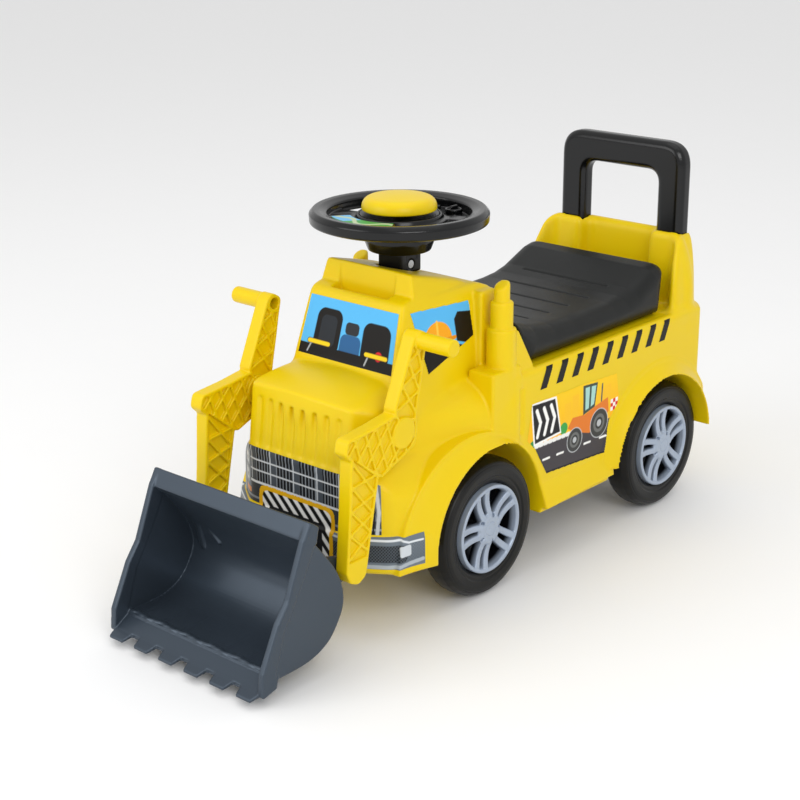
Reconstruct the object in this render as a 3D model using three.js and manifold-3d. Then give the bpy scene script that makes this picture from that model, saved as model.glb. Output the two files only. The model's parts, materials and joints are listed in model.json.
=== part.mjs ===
// Ride-on digger for a small child: a moulded yellow truck body on four wheels, with a seat lid over a
// storage bin, a steering wheel with a horn, and a hand-worked loader bucket on two lattice arms.
// Millimetres. +X is the vehicle's left, -Y is forward, +Z is up. The origin is on the ground under the
// middle of the whole object, bucket teeth to back panel.
import * as THREE from 'three';
import { ConvexGeometry } from 'three/addons/geometries/ConvexGeometry.js';
import { mergeVertices } from 'three/addons/utils/BufferGeometryUtils.js';
import Module from 'manifold-3d';

const wasm = await Module();
wasm.setup();

// ---- driving dimensions ----------------------------------------------------------------------------
const LENGTH = 655;                    // bucket teeth to back panel
const BODY_WIDTH = 225;                // over the wheel-arch lips
const HEIGHT = 370;                    // ground to the top of the push handle
const FRONT_END = -LENGTH / 2;
const BACK_END = LENGTH / 2;
const GAP = 0.3;                       // air between two pieces that fit together
const RUN = 0.3;                       // radial play of a turning fit

const TYRE_R = 66.3;
const RIM_R = 42.2;
const AXLE_Z = TYRE_R;
const FRONT_AXLE_Y = -31.3;
const REAR_AXLE_Y = 255;
const TYRE_IN = 69;                    // inner and outer faces of a tyre, from the middle of the vehicle
const TYRE_OUT = 99;
const RIM_FACE = 101;
const RIM_WEB = 90.5;                  // floor of the rim's dark pockets
const AXLE_R = 4;
const AXLE_END = 95.5;
const LIP_OUT = BODY_WIDTH / 2;
const FRONT_ARCH = { y: -35.5, z: 69, r: 81.5, lip: 88, depth: 44 };   // roomy, because its wheels steer
const REAR_ARCH = { y: 241, z: 63, r: 83, lip: 89, depth: 60 };

const SIDE_X = 100;                    // half width of the body between the arches
const SILL_Z = 59;
const DECK_Z = 203;                    // the ledge the seat lid rests on
const WALL = 3;

const STEER_Y = -42.5;                   // the steering rod's axis
const STEER_R = 81.6;
const STEER_TOP = 354;
const STEER_DEPTH = 14;
const BOWL_R = 32.5;
const BOWL_Z = 316;
const POST_SIZE = 28;
const POST_Z = 295.5;
const BOLT_Z = 304;                    // the bolt through post and rod
const RECESS_Z = 293;                  // floor of the round recess in the roof, under the post
const ROD_R = 4;
const CRANK = 25;                      // crank and steering arms have one length, so all three turn alike
const KINGPIN_X = 52;
const KINGPIN_R = 2.5;
const TRAY_Z = 60;
const TRAY_T = 3;

const ARM_IN = 81;
const ARM_OUT = 95;
const PEG_END = 131;
const ARM_Y = -145;                    // the loader's pivot
const ARM_Z = 190.5;
const PEG_Y = -122;                    // the hand pegs at the top of the levers
const PEG_Z = 267;
const BUCKET_Y = -203;                 // the bucket's pivot, at the foot of the arms
const BUCKET_Z = 82;
const BUCKET_X = 96;

const HINGE_Y = 18;                    // the seat lid's hinge, along its top front edge
const HINGE_Z = 243;
const SEAT_X = 90;
const HANDLE_Y = 313.5;
const HANDLE_X = 60.5;
const HANDLE_W = 31;
const HANDLE_D = 21;
const HANDLE_FOOT = 242;               // the legs stop here, inside the backrest
const BACK_TOP = 277;

// ---- solids ----------------------------------------------------------------------------------------
// A closed three.js geometry as a manifold solid, turned the right way out if its profile ran backwards.
function solid(geometry) {
  const g = geometry.index ? geometry.toNonIndexed() : geometry.clone();
  g.deleteAttribute('normal');
  g.deleteAttribute('uv');
  const merged = mergeVertices(g, 1e-4);
  const triVerts = new Uint32Array(merged.index.array);
  const vertProperties = new Float32Array(merged.attributes.position.array);
  const made = new wasm.Manifold(new wasm.Mesh({ numProp: 3, vertProperties, triVerts }));
  if (made.volume() > 0) return made;
  const flipped = triVerts.map((_, i) => triVerts[i - (i % 3) + 2 - (i % 3)]);
  return new wasm.Manifold(new wasm.Mesh({ numProp: 3, vertProperties, triVerts: flipped }));
}

function geometryOf(manifold) {
  const mesh = manifold.getMesh();
  const g = new THREE.BufferGeometry();
  g.setAttribute('position', new THREE.BufferAttribute(new Float32Array(mesh.vertProperties), 3));
  g.setIndex(new THREE.BufferAttribute(new Uint32Array(mesh.triVerts), 1));
  g.computeVertexNormals();
  return g;
}

function union(...parts) {
  return parts.flat().reduce((all, part) => all.add(part));
}

function cut(body, ...tools) {
  return tools.flat().reduce((left, tool) => left.subtract(tool), body);
}

function box(x0, x1, y0, y1, z0, z1) {
  const g = new THREE.BoxGeometry(Math.abs(x1 - x0), y1 - y0, z1 - z0);
  g.translate((x0 + x1) / 2, (y0 + y1) / 2, (z0 + z1) / 2);
  return solid(g);
}

function hull(points) {
  return solid(new ConvexGeometry(points.map((p) => new THREE.Vector3(...p))));
}

// A hull of points given for the left half, with their mirror images.
function hull2(points) {
  return hull([...points, ...points.map(([x, y, z]) => [-x, y, z])]);
}

function cylinderX(r, x0, x1, y, z, segments = 16) {
  const g = new THREE.CylinderGeometry(r, r, Math.abs(x1 - x0), segments);
  g.rotateZ(Math.PI / 2);
  g.translate((x0 + x1) / 2, y, z);
  return solid(g);
}

function cylinderY(r, x, y0, y1, z, segments = 12) {
  const g = new THREE.CylinderGeometry(r, r, y1 - y0, segments);
  g.translate(x, (y0 + y1) / 2, z);
  return solid(g);
}

function cylinderZ(r, x, y, z0, z1, segments = 16) {
  const g = new THREE.CylinderGeometry(r, r, z1 - z0, segments);
  g.rotateX(Math.PI / 2);
  g.translate(x, y, (z0 + z1) / 2);
  return solid(g);
}

// A side outline of [y, z] points, drawn as a slab from x0 to x1.
function slab(outline, x0, x1) {
  const shape = new THREE.Shape(outline.map(([y, z]) => new THREE.Vector2(y, z)));
  const g = new THREE.ExtrudeGeometry(shape, { depth: Math.abs(x1 - x0), bevelEnabled: false });
  g.applyMatrix4(new THREE.Matrix4().makeBasis(
    new THREE.Vector3(0, 1, 0), new THREE.Vector3(0, 0, 1), new THREE.Vector3(1, 0, 0)));
  g.translate(Math.min(x0, x1), 0, 0);
  return solid(g);
}

// A closed [radius, height] profile turned about a vertical axis through (x, y).
function turnZ(profile, x, y, segments) {
  const closed = [...profile, profile[0]].map(([r, h]) => new THREE.Vector2(r, h));
  const g = new THREE.LatheGeometry(closed, segments);
  g.rotateX(Math.PI / 2);
  g.translate(x, y, 0);
  return solid(g);
}

// A closed [radius, distance from the middle] profile turned about a wheel axle, on one side.
function turnX(profile, side, y, z, segments) {
  const closed = [...profile, profile[0]].map(([r, h]) => new THREE.Vector2(r, h));
  const g = new THREE.LatheGeometry(closed, segments);
  g.rotateZ(side > 0 ? -Math.PI / 2 : Math.PI / 2);
  g.translate(0, y, z);
  return solid(g);
}

// Points of an arc in the side view, from one angle to another in degrees.
function arc(y, z, r, from, to, steps) {
  return Array.from({ length: steps + 1 }, (_, i) => {
    const a = THREE.MathUtils.degToRad(from + ((to - from) * i) / steps);
    return [y + r * Math.cos(a), z + r * Math.sin(a)];
  });
}

// ---- materials -------------------------------------------------------------------------------------
const finishes = {
  yellow: { color: 0xf6d21a, roughness: 0.38, metalness: 0 },
  black: { color: 0x1f2020, roughness: 0.5, metalness: 0 },
  tyre: { color: 0x2a2b28, roughness: 0.72, metalness: 0 },
  silver: { color: 0xa9b4c2, roughness: 0.35, metalness: 0.6 },
  slate: { color: 0x58636e, roughness: 0.42, metalness: 0 },
  steel: { color: 0xb8bcc0, roughness: 0.3, metalness: 1 },
  grey: { color: 0x8a8d8f, roughness: 0.6, metalness: 0 },
  green: { color: 0x1d6b3a, roughness: 0.5, metalness: 0 },
};

const digger = new THREE.Group();

function place(name, finish, body) {
  const mesh = new THREE.Mesh(geometryOf(body), new THREE.MeshStandardMaterial(finishes[finish]));
  mesh.name = name;
  digger.add(mesh);
}

const SIDES = [['left', 1], ['right', -1]];

// ---- body shell ------------------------------------------------------------------------------------
const ARCHES = [FRONT_ARCH, REAR_ARCH];

const RIBS = 9;                        // upright ribs on the bonnet's front
const RIB_PITCH = 13.6;

// Bonnet: ribbed front panel standing on the wide nose, rounded into the fenders.
function bonnet() {
  const nose = hull2([
    [56, -168, 57], [60, -181, 66], [60, -181, 155], [86, -155, 57], [93, -159, 66], [93, -156, 138],
    [104, -124, 62], [103, -118, 126], [104, -60, 60], [100, -60, 146], [80, -60, 170], [78, -152, 155],
  ]);
  const hood = hull2([
    [60, -181, 155], [61, -172, 211], [60, -164, 216], [74, -155, 211], [62, -112, 222], [76, -112, 212],
    [78, -154, 155], [79, -112, 150], [74, -60, 212], [79, -60, 150],
  ]);
  const ribs = Array.from({ length: RIBS }, (_, i) => (i - (RIBS - 1) / 2) * RIB_PITCH).map((x) =>
    hull([[x, -182, 158], [x, -175, 204], [x - 4, -178, 158], [x + 4, -178, 158], [x - 4, -171, 204],
      [x + 4, -171, 204]]));
  return union(nose, hood, ribs);
}

// Cab: sloping windscreen, plain sides, a raised roof box and a pillar behind each side window.
function cab() {
  const room = hull2([
    [62, -122, 205], [57, -90, 288], [60, -4, 288], [64, 9, 282], [68, 9, 180], [70, -118, 180],
  ]);
  const roofBox = hull2([[56, -88, 287], [50, -84.5, 308.5], [50, -22, 293], [56, -10, 287]]);
  const pillars = SIDES.map(([, s]) => box(s * 60, s * 72, -14, 9, 180, 282));
  const shoulders = hull2([[79, -112, 150], [79, -100, 186], [76, -60, 200], [98, -54, 150],
    [80, 9, 208], [104, 9, 196], [104, 9, 60], [79, -112, 60]]);
  return union(room, roofBox, pillars, shoulders);
}

const STACK_Y = -2;

// Exhaust stacks: stepped round towers with a slanted top, moulded with the body.
function stack(s) {
  const x = s * 86;
  const steps = [[7.3, 294], [10.5, 274.5], [13.6, 249.6], [17, 214]];
  const tower = union(steps.map(([r, top]) => cylinderZ(r, x, STACK_Y, 190, top, 16)));
  const slant = hull([
    [x - 20, -22, 282], [x + 20, -22, 282], [x - 20, 18, 302], [x + 20, 18, 302],
    [x - 20, -22, 310], [x + 20, -22, 310], [x - 20, 18, 310], [x + 20, 18, 310],
  ]);
  return cut(tower, slant);
}

// Rear body, the deck around the seat and the hollow backrest with its two wings.
function rear() {
  const block = hull2([
    [SIDE_X, 0, SILL_Z], [SIDE_X, 0, 196], [SIDE_X - 6, 0, DECK_Z], [SIDE_X - 6, 300, DECK_Z],
    [SIDE_X, 314, SILL_Z + 6], [SIDE_X, 314, 196], [88, BACK_END, 200], [88, BACK_END, SILL_Z + 6],
    [SIDE_X, 300, SILL_Z],
  ]);
  const back = hull2([
    [98, 312, 180], [87, BACK_END, 180], [98, 289, 180], [96, 309, 240], [84, 326.5, 240],
    [86, 306, 270], [96, 291, 240], [80, 325, BACK_TOP], [80, 291, BACK_TOP], [86, 294, 270],
  ]);
  const wings = SIDES.map(([, s]) => hull([
    [s * 98, 268, 200], [s * 98, 300, 200], [s * 74, 300, 200], [s * 92, 268, 200],
    [s * 96, 274, 240], [s * 96, 300, 240], [s * 74, 300, 240], [s * 90, 274, 240],
    [s * 85, 286, 272], [s * 85, 300, 272], [s * 74, 300, 272], [s * 82, 286, 272],
  ]));
  return union(block, back, wings);
}

// One flared lip round each wheel opening.
function archLips() {
  return ARCHES.flatMap(({ y, z, lip: radius }) => SIDES.map(([, s]) => {
    const lip = cylinderX(radius, s * 92, s * LIP_OUT, y, z, 28);
    const below = box(-120, 120, y - 100, y + 100, -40, SILL_Z + 5);
    const behind = box(-120, 120, BACK_END, BACK_END + 60, -40, 240);
    return cut(lip, below, behind);
  }));
}

// Bumper bar, bowed round the nose, and the sills that flare out between the wheels.
function bumperAndSills() {
  const bumper = hull2([
    [58, -170, 57], [60, -184, 66], [60, -184, 97], [86, -155, 57], [95, -159, 66], [95, -159, 97],
    [106, -130, 62], [106, -130, 96], [106, -112, 62], [60, -150, 97],
  ]);
  const sills = SIDES.map(([, s]) => hull([
    [s * 96, 48, SILL_Z], [s * 96, 158, SILL_Z], [s * 106, 56, SILL_Z], [s * 106, 150, SILL_Z],
    [s * 99, 48, 84], [s * 99, 158, 84], [s * 96, 48, 84], [s * 96, 158, 84],
  ]));
  return union(bumper, sills);
}

// The hollow inside the moulding, open underneath, with a wall left round every wheel well.
function bodyHollow() {
  const under = 30;
  const nose = hull2([[54, -177, 154], [54, -177, under], [83, -154, under], [89, -152, 134],
    [100, -120, under], [99, -113, 123], [90, -113, 128], [74, -113, 150]]);
  const hood = hull2([[56, -176, 150], [57, -168, 207], [70, -152, 206], [71, -112, 207], [73, -112, 150],
    [69, -50, 207], [73, -50, 150]]);
  const room = hull2([[57, -113, 200], [53, -86, 281], [55, -8, 281], [59, 5, 200], [59, 5, 150],
    [60, -110, 150]]);
  const flank = hull2([[76, -124, under], [100, -118, under], [98, -104, 100], [101, -57, under],
    [101, 12, under], [101, 12, 190], [95, -51, 147], [77, 6, 200], [73, -60, 190], [76, -98, 180],
    [76, -108, 150]]);
  const rearBlock = hull2([[97, 4, under], [97, 4, 194], [93, 4, DECK_Z - 4], [93, 298, DECK_Z - 4],
    [97, 311, under], [97, 311, 194], [86, 324, DECK_Z - 4], [86, 324, under], [97, 299, under]]);
  const wellWalls = ARCHES.flatMap(({ y, z, r, depth }) => SIDES.flatMap(([, s]) => [
    cylinderX(r + WALL, s * (depth - WALL), s * 130, y, z, 28),
    box(s * (depth - WALL), s * 130, y - r - WALL, y + r + WALL, 20, z)]));
  const backrest = hull2([[93, 294, 150], [93, 307, 150], [84, 322, 150], [91, 296, 238], [91, 304, 238],
    [80, 322, 238], [80, 303, 266], [76, 320, BACK_TOP - WALL], [76, 298, BACK_TOP - WALL]]);
  const towers = SIDES.flatMap(([, s]) => [
    cylinderZ(7.5, s * 86, STACK_Y, 190, 270, 16), cylinderZ(10.6, s * 86, STACK_Y, 190, 246, 16)]);
  return union(cut(union(nose, hood, room, flank, rearBlock), wellWalls), backrest, towers);
}

// Screw posts that hold the base tray, and the bosses the loader arms swing on.
const TRAY_SCREWS = [[30, -124, 211], [-30, -124, 211], [34, 284, 200], [-34, 284, 200]]; // x, y, top of post

function bodyBosses() {
  const posts = TRAY_SCREWS.map(([x, y, top]) => cylinderZ(5, x, y, TRAY_Z + TRAY_T + GAP, top, 12));
  const pivots = SIDES.map(([, s]) => cylinderX(12, s * 60, s * (ARM_IN - GAP - 0.4), ARM_Y, ARM_Z, 24));
  const lugOutline = [[4, HINGE_Z - 8], [HINGE_Y, HINGE_Z - 8], ...arc(HINGE_Y, HINGE_Z, 5, -60, 120, 6),
    [4, HINGE_Z + 4]];
  const lugs = SIDES.map(([, s]) => slab(lugOutline, s * 40, s * 46));
  return union(posts, pivots, lugs);
}

function bodyCuts() {
  const wells = ARCHES.flatMap(({ y, z, r, depth }) =>
    SIDES.map(([, s]) => cylinderX(r, s * depth, s * 130, y, z, 28)));
  const belowWells = ARCHES.flatMap(({ y, z, r, depth }) =>
    SIDES.map(([, s]) => box(s * depth, s * 130, y - r + 1, y + r - 1, 20, z)));
  const steeringWindow = box(-70, 70, FRONT_AXLE_Y - 22, FRONT_AXLE_Y + 38, 30, 90);
  const axleSlot = box(-70, 70, REAR_AXLE_Y - 14, REAR_AXLE_Y + 14, 30, 82);
  const binOpening = box(-70, 70, 62, 243, 180, 215);
  const binRebate = box(-75, 75, 57, 248, DECK_Z - 2.5, 215);
  const roofRecess = cylinderZ(22, 0, STEER_Y, RECESS_Z, 320, 32);
  const bushHole = cylinderZ(7 + GAP, 0, STEER_Y, 270, 300);
  const hingeHole = cylinderX(2 + RUN, -64, 64, HINGE_Y, HINGE_Z, 12);
  const armHoles = SIDES.map(([, s]) => cylinderX(AXLE_R + GAP, s * 64, s * 90, ARM_Y, ARM_Z));
  const screwHoles = TRAY_SCREWS.map(([x, y]) => cylinderZ(1.5 + GAP, x, y, 50, 92, 10));
  const sockets = SIDES.map(([, s]) => box(
    s * (HANDLE_X - HANDLE_W / 2 - GAP), s * (HANDLE_X + HANDLE_W / 2 + GAP),
    HANDLE_Y - HANDLE_D / 2 - GAP, HANDLE_Y + HANDLE_D / 2 + GAP, 235, 290));
  const handleScrews = SIDES.map(([, s]) => cylinderY(2 + GAP, s * HANDLE_X, 315, 335, 255, 12));
  return [wells, belowWells, steeringWindow, axleSlot, binOpening, binRebate, roofRecess, bushHole,
    hingeHole, armHoles, screwHoles, sockets, handleScrews].flat();
}

function bodyShell() {
  const outside = union(bonnet(), cab(), rear(), stack(1), stack(-1), archLips(), bumperAndSills());
  const tidy = cut(outside, box(-140, 140, BACK_END, BACK_END + 50, 0, 400));
  return cut(union(cut(tidy, bodyHollow()), bodyBosses()), bodyCuts());
}

// ---- chassis pieces under and in the body ------------------------------------------------------------
function baseTray() {
  const top = TRAY_Z + TRAY_T;
  const plate = box(-38, 38, -150, 318, TRAY_Z, top);
  const [earFront, earBack] = [FRONT_AXLE_Y - 12, FRONT_AXLE_Y + 5.8];
  const lowerEar = box(-60, 60, earFront, earBack, 51, 54);
  const web = box(-38, 38, STEER_Y - 10, earBack, 51, 80);
  const upperEar = box(-60, 60, earFront, earBack, 77, 80);
  const brackets = SIDES.map(([, s]) =>
    box(s * 30, s * 38, REAR_AXLE_Y - 12, REAR_AXLE_Y + 12, TRAY_Z - 6, 80));
  const kingpinHoles = SIDES.map(([, s]) =>
    cylinderZ(KINGPIN_R + RUN, s * KINGPIN_X, FRONT_AXLE_Y, 40, 90, 12));
  const rodHole = cylinderZ(ROD_R + RUN, 0, STEER_Y, 40, 90);
  const axleHole = cylinderX(AXLE_R + GAP, -50, 50, REAR_AXLE_Y, AXLE_Z);
  const screwHoles = TRAY_SCREWS.map(([x, y]) => cylinderZ(1.5 + GAP, x, y, 50, 70, 10));
  const heads = TRAY_SCREWS.map(([x, y]) => cylinderZ(3.2, x, y, 50, TRAY_Z + 1.6, 12));
  const tray = union(plate, lowerEar, web, upperEar, brackets);
  return cut(tray, kingpinHoles, rodHole, axleHole, screwHoles, heads);
}

function trayScrew([x, y]) {
  const head = cylinderZ(2.8, x, y, TRAY_Z + 0.2, TRAY_Z + 1.4, 12);
  return union(head, cylinderZ(1.5, x, y, TRAY_Z + 0.2, 88, 10));
}

// The bin is deep between the wheels and shallow over the rear axle.
function storageBin() {
  const t = 2.5;
  const deepEnd = REAR_ARCH.y - REAR_ARCH.r - 6;
  const flange = box(-74.5, 74.5, 57.5, 247.5, DECK_Z - 2.2, DECK_Z - 0.7);
  const shallow = box(-69.5, 69.5, 62.5, 242.5, 152, DECK_Z - 1);
  const deep = box(-69.5, 69.5, 62.5, deepEnd, 84, 160);
  const hollow = union(
    box(-69.5 + t, 69.5 - t, 62.5 + t, 242.5 - t, 152 + t, DECK_Z + 5),
    box(-69.5 + t, 69.5 - t, 62.5 + t, deepEnd - t, 84 + t, 200));
  return cut(union(flange, shallow, deep), hollow);
}

// The outline of the handle's loop, drawn in by inset and left open below.
function handleLoop(inset, foot) {
  const outer = HANDLE_X + HANDLE_W / 2 - inset;
  const top = HEIGHT - inset;
  const width = HANDLE_W - 2 * inset;
  const big = 26 - inset;
  const small = 10 + inset;
  const shape = new THREE.Shape();
  shape.moveTo(-outer, foot);
  shape.lineTo(-outer, top - big);
  shape.absarc(-outer + big, top - big, big, Math.PI, Math.PI / 2, true);
  shape.absarc(outer - big, top - big, big, Math.PI / 2, 0, true);
  shape.lineTo(outer, foot);
  shape.lineTo(outer - width, foot);
  shape.absarc(outer - width - small, top - width - small, small, 0, Math.PI / 2, false);
  shape.absarc(-outer + width + small, top - width - small, small, Math.PI / 2, Math.PI, false);
  shape.lineTo(-outer + width, foot);
  const depth = HANDLE_D - 2 * inset;
  const g = new THREE.ExtrudeGeometry(shape, { depth, bevelEnabled: false, curveSegments: 8 });
  g.rotateX(Math.PI / 2);
  g.translate(0, HANDLE_Y + depth / 2, 0);
  return solid(g);
}

// A hollow rounded loop on two legs that go down into the backrest, with a boss round each screw.
function rearHandle() {
  const bosses = SIDES.map(([, s]) => cylinderY(5, s * HANDLE_X, HANDLE_Y - 9, HANDLE_Y + 9, 255, 12));
  const hollow = cut(handleLoop(WALL, HANDLE_FOOT - 1), bosses);
  const holes = SIDES.map(([, s]) => cylinderY(2 + GAP, s * HANDLE_X, HANDLE_Y - 6, 335, 255, 12));
  return cut(handleLoop(0, HANDLE_FOOT), hollow, holes);
}

function handleScrew(s) {
  return cylinderY(2, s * HANDLE_X, HANDLE_Y - 5, BACK_END - 1.5, 255, 12);
}

function roofBush() {
  return turnZ([[ROD_R + RUN, 284], [7, 284], [7, RECESS_Z + GAP], [12, RECESS_Z + GAP], [12, RECESS_Z + 1.8],
    [ROD_R + RUN, RECESS_Z + 1.8]], 0, STEER_Y, 24);
}

// ---- seat ------------------------------------------------------------------------------------------
// Heights of the saddle along the vehicle, dipped in the middle: [y, top in the middle, top at the side].
const SADDLE = [[22, 248, 245], [48, 237, 235], [81, 233, 231], [178, 233, 231], [212, 239, 238],
  [243, 253, 252], [262, 253, 249]];

function saddle(inset) {
  const low = inset ? DECK_Z - 10 : DECK_Z + 1.5;
  const slices = SADDLE.slice(1).map(([y1, mid1, side1], i) => {
    const [y0, mid0, side0] = SADDLE[i];
    const section = (y, mid, side, foot) => [
      [SEAT_X - inset, foot, low], [SEAT_X - 1 - inset, y, side - 8 - inset],
      [SEAT_X - 9 - inset, y, side - inset], [30, y, mid - inset],
    ];
    const foot0 = i === 0 ? y0 + 15 : y0;
    const foot1 = i === SADDLE.length - 2 ? y1 - 5 : y1;
    const front = i ? 0 : inset;
    const back = foot1 < y1 ? inset : 0;
    return hull2([...section(y0 + front, mid0, side0, foot0 + front),
      ...section(y1 - back, mid1, side1, foot1 - back)]);
  });
  return union(slices);
}

function seatLid() {
  const tongue = hull2([[62, 12, HINGE_Z - 4], [62, 12, HINGE_Z + 3], [62, 16, HINGE_Z + 5.5],
    [62, 36, HINGE_Z + 1], [62, 40, HINGE_Z - 9], [62, 18, HINGE_Z - 6]]);
  const lugNotches = SIDES.map(([, s]) =>
    box(s * 39.3, s * 46.7, 0, HINGE_Y + 10, HINGE_Z - 14, HINGE_Z + 14));
  const bore = cylinderX(2 + RUN, -70, 70, HINGE_Y, HINGE_Z, 16);
  return cut(union(cut(saddle(0), saddle(WALL)), tongue), lugNotches, bore);
}

// ---- wheels ----------------------------------------------------------------------------------------
// A hard tyre moulded as a deep channel, open on the side that faces the vehicle.
function tyre(s, y) {
  const inside = [[45, TYRE_IN + 3], [45, TYRE_OUT - 4.4], [56, TYRE_OUT - 2.6], [61.8, TYRE_OUT - 5],
    [TYRE_R - 2.6, TYRE_OUT - 10], [TYRE_R - 2.6, TYRE_IN + 9], [61, TYRE_IN + 4]];
  const outside = [[58, TYRE_IN + 2], [58.5, TYRE_IN], [64, TYRE_IN + 3], [TYRE_R, TYRE_IN + 9],
    [TYRE_R, TYRE_OUT - 9], [64, TYRE_OUT - 3], [56, TYRE_OUT], [RIM_R + GAP, TYRE_OUT - 2]];
  return turnX([[RIM_R + GAP, TYRE_IN + 3], ...inside, ...outside], s, y, AXLE_Z, 24);
}

// Five double spokes between five dark pockets, on a deep barrel with a bore for the axle.
function rim(s, y) {
  const bowl = turnX([[AXLE_R + RUN, 71], [11, 71], [11, RIM_WEB], [35, RIM_WEB], [35, 74], [RIM_R, 74],
    [RIM_R, RIM_FACE], [37, RIM_FACE], [34, RIM_FACE - 2], [9, RIM_FACE - 1],
    [9, RIM_WEB + 2.2], [AXLE_R + RUN, RIM_WEB + 2.2]], s, y, AXLE_Z, 24);
  const pockets = Array.from({ length: 5 }, (_, i) => {
    const a = THREE.MathUtils.degToRad(36 + i * 72);
    const at = (r, turn) => [y + r * Math.cos(a + turn), AXLE_Z + r * Math.sin(a + turn)];
    return slab([at(18, -0.22), at(33, -0.3), at(33, 0.3), at(18, 0.22)], s * 60, s * 120);
  });
  return cut(bowl, pockets);
}

function wheelCap(s, y) {
  return cylinderX(9 - GAP, s * (AXLE_END + 1), s * (RIM_FACE - 0.5), y, AXLE_Z, 24);
}

function axleNut(s, y) {
  return turnX([[AXLE_R + GAP, AXLE_END - 2.5], [7.5, AXLE_END - 2.5], [7.5, AXLE_END - 0.5],
    [AXLE_R + GAP, AXLE_END - 0.5]], s, y, AXLE_Z, 16);
}

// ---- steering gear ---------------------------------------------------------------------------------
function knuckle(s) {
  const block = box(s * 45, s * 60, FRONT_AXLE_Y - 10, FRONT_AXLE_Y + 10, 54.4, 76.6);
  const spacer = cylinderX(7, s * 58, s * (TYRE_IN + 1.5), FRONT_AXLE_Y, AXLE_Z);
  const armY = FRONT_AXLE_Y + CRANK;
  const lever = box(s * 47, s * 57, FRONT_AXLE_Y + 6, armY + 4, 66, 71);
  const peg = cylinderZ(3, s * KINGPIN_X, armY, 68, 80, 16);
  const kingpinHole = cylinderZ(KINGPIN_R + RUN, s * KINGPIN_X, FRONT_AXLE_Y, 40, 90, 12);
  const socket = cylinderX(AXLE_R + GAP, s * 55.5, s * 80, FRONT_AXLE_Y, AXLE_Z);
  return cut(union(block, spacer, lever, peg), kingpinHole, socket);
}

// A flat bar with three cross slots: two for the steering arms and one for the crank.
function tieRod() {
  const armY = FRONT_AXLE_Y + CRANK;
  const crankY = STEER_Y + CRANK;
  const bar = box(-58, 58, armY - 8, armY + 5, 73.5, 78);
  const middle = box(-9, 9, crankY - 7, crankY + 11, 73.5, 78);
  const armSlots = SIDES.map(([, s]) =>
    box(s * KINGPIN_X - 3.6, s * KINGPIN_X + 3.6, armY - 5.5, armY + 3.2, 70, 82));
  const crankSlot = box(-3.6, 3.6, crankY - 5.5, crankY + 4, 70, 82);
  return cut(union(bar, middle), armSlots, crankSlot);
}

// The steel rod ends in a crank whose peg drives the tie rod.
function steeringRod() {
  const shaft = cylinderZ(ROD_R, 0, STEER_Y, 72, BOWL_Z + 0.5);
  const webPart = box(-4.5, 4.5, STEER_Y - 4.5, STEER_Y + CRANK + 4.5, 81, 86);
  const peg = cylinderZ(3, 0, STEER_Y + CRANK, 72, 82, 16);
  return cut(union(shaft, webPart, peg), cylinderX(2 + GAP, -20, 20, STEER_Y, BOLT_Z, 12));
}

function steeringPost() {
  const half = POST_SIZE / 2;
  const post = box(-half, half, STEER_Y - half, STEER_Y + half, POST_Z, BOWL_Z - GAP);
  const bore = cylinderZ(ROD_R + GAP, 0, STEER_Y, 290, 330);
  const boltHole = cylinderX(2 + GAP, -20, 20, STEER_Y, BOLT_Z, 12);
  const headPocket = cylinderX(4.2, half - 3, half + 2, STEER_Y, BOLT_Z, 16);
  const nutPocket = cylinderX(4.2, -half - 2, -half + 3.5, STEER_Y, BOLT_Z, 6);
  return cut(post, bore, boltHole, headPocket, nutPocket);
}

function columnBolt() {
  return union(cylinderX(2, -12.5, 12, STEER_Y, BOLT_Z, 12), cylinderX(3.7, 11.4, 13.7, STEER_Y, BOLT_Z, 16));
}

function columnNut() {
  return cut(cylinderX(3.7, -13.6, -10.8, STEER_Y, BOLT_Z, 6), cylinderX(2.2, -15, -10, STEER_Y, BOLT_Z, 12));
}

// Thick rim, four spokes and a bowl that holds the batteries and the sound board.
function steeringWheel() {
  const low = STEER_TOP - STEER_DEPTH;
  const ring = turnZ([[STEER_R - 3, low], [STEER_R, low + 5], [STEER_R, STEER_TOP - 5],
    [STEER_R - 4, STEER_TOP], [STEER_R - 12, STEER_TOP - 1], [STEER_R - 16, STEER_TOP - 6],
    [STEER_R - 15, low + 4]], 0, STEER_Y, 30);
  const bore = [[30.5, 341], [30.5, 327], [27, BOWL_Z + 3], [ROD_R + GAP, BOWL_Z + 3]];
  const bowl = turnZ([[ROD_R + GAP, BOWL_Z], [29, BOWL_Z], [BOWL_R, 326], [BOWL_R, 338], [39, 342], [39, 350],
    [36.5, 350], [36.5, 344.5], ...bore], 0, STEER_Y, 24);
  const spokes = [0, 90, 180, 270].map((deg) => {
    const a = THREE.MathUtils.degToRad(deg);
    const at = (along, across, z) => [along * Math.cos(a) - across * Math.sin(a),
      STEER_Y + along * Math.sin(a) + across * Math.cos(a), z];
    const wide = deg === 270 ? 34 : 13;
    return hull([at(37.5, -wide, 342), at(37.5, wide, 342), at(37.5, -wide, 348), at(37.5, wide, 348),
      at(70, -wide, 341), at(70, wide, 341), at(70, -wide, 348), at(70, wide, 348)]);
  });
  const hubSpace = cylinderZ(36.5, 0, STEER_Y, 344.5, 360, 24);
  const topBore = cylinderZ(ROD_R + GAP, 0, STEER_Y, 310, 325);
  return cut(union(ring, bowl, spokes), hubSpace, topBore);
}

function battery(dy) {
  const y = STEER_Y + dy;
  return union(cylinderX(7.1, -24.5, 23.5, y, 327.2, 20), cylinderX(2.5, 23, 25, y, 327.2, 12));
}

function soundModule() {
  const board = box(-22, 22, STEER_Y - 14, STEER_Y + 14, 335, 336.6);
  const chip = box(-6, 6, STEER_Y - 12, STEER_Y - 2, 336.5, 338.5);
  return union(board, chip);
}

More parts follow.
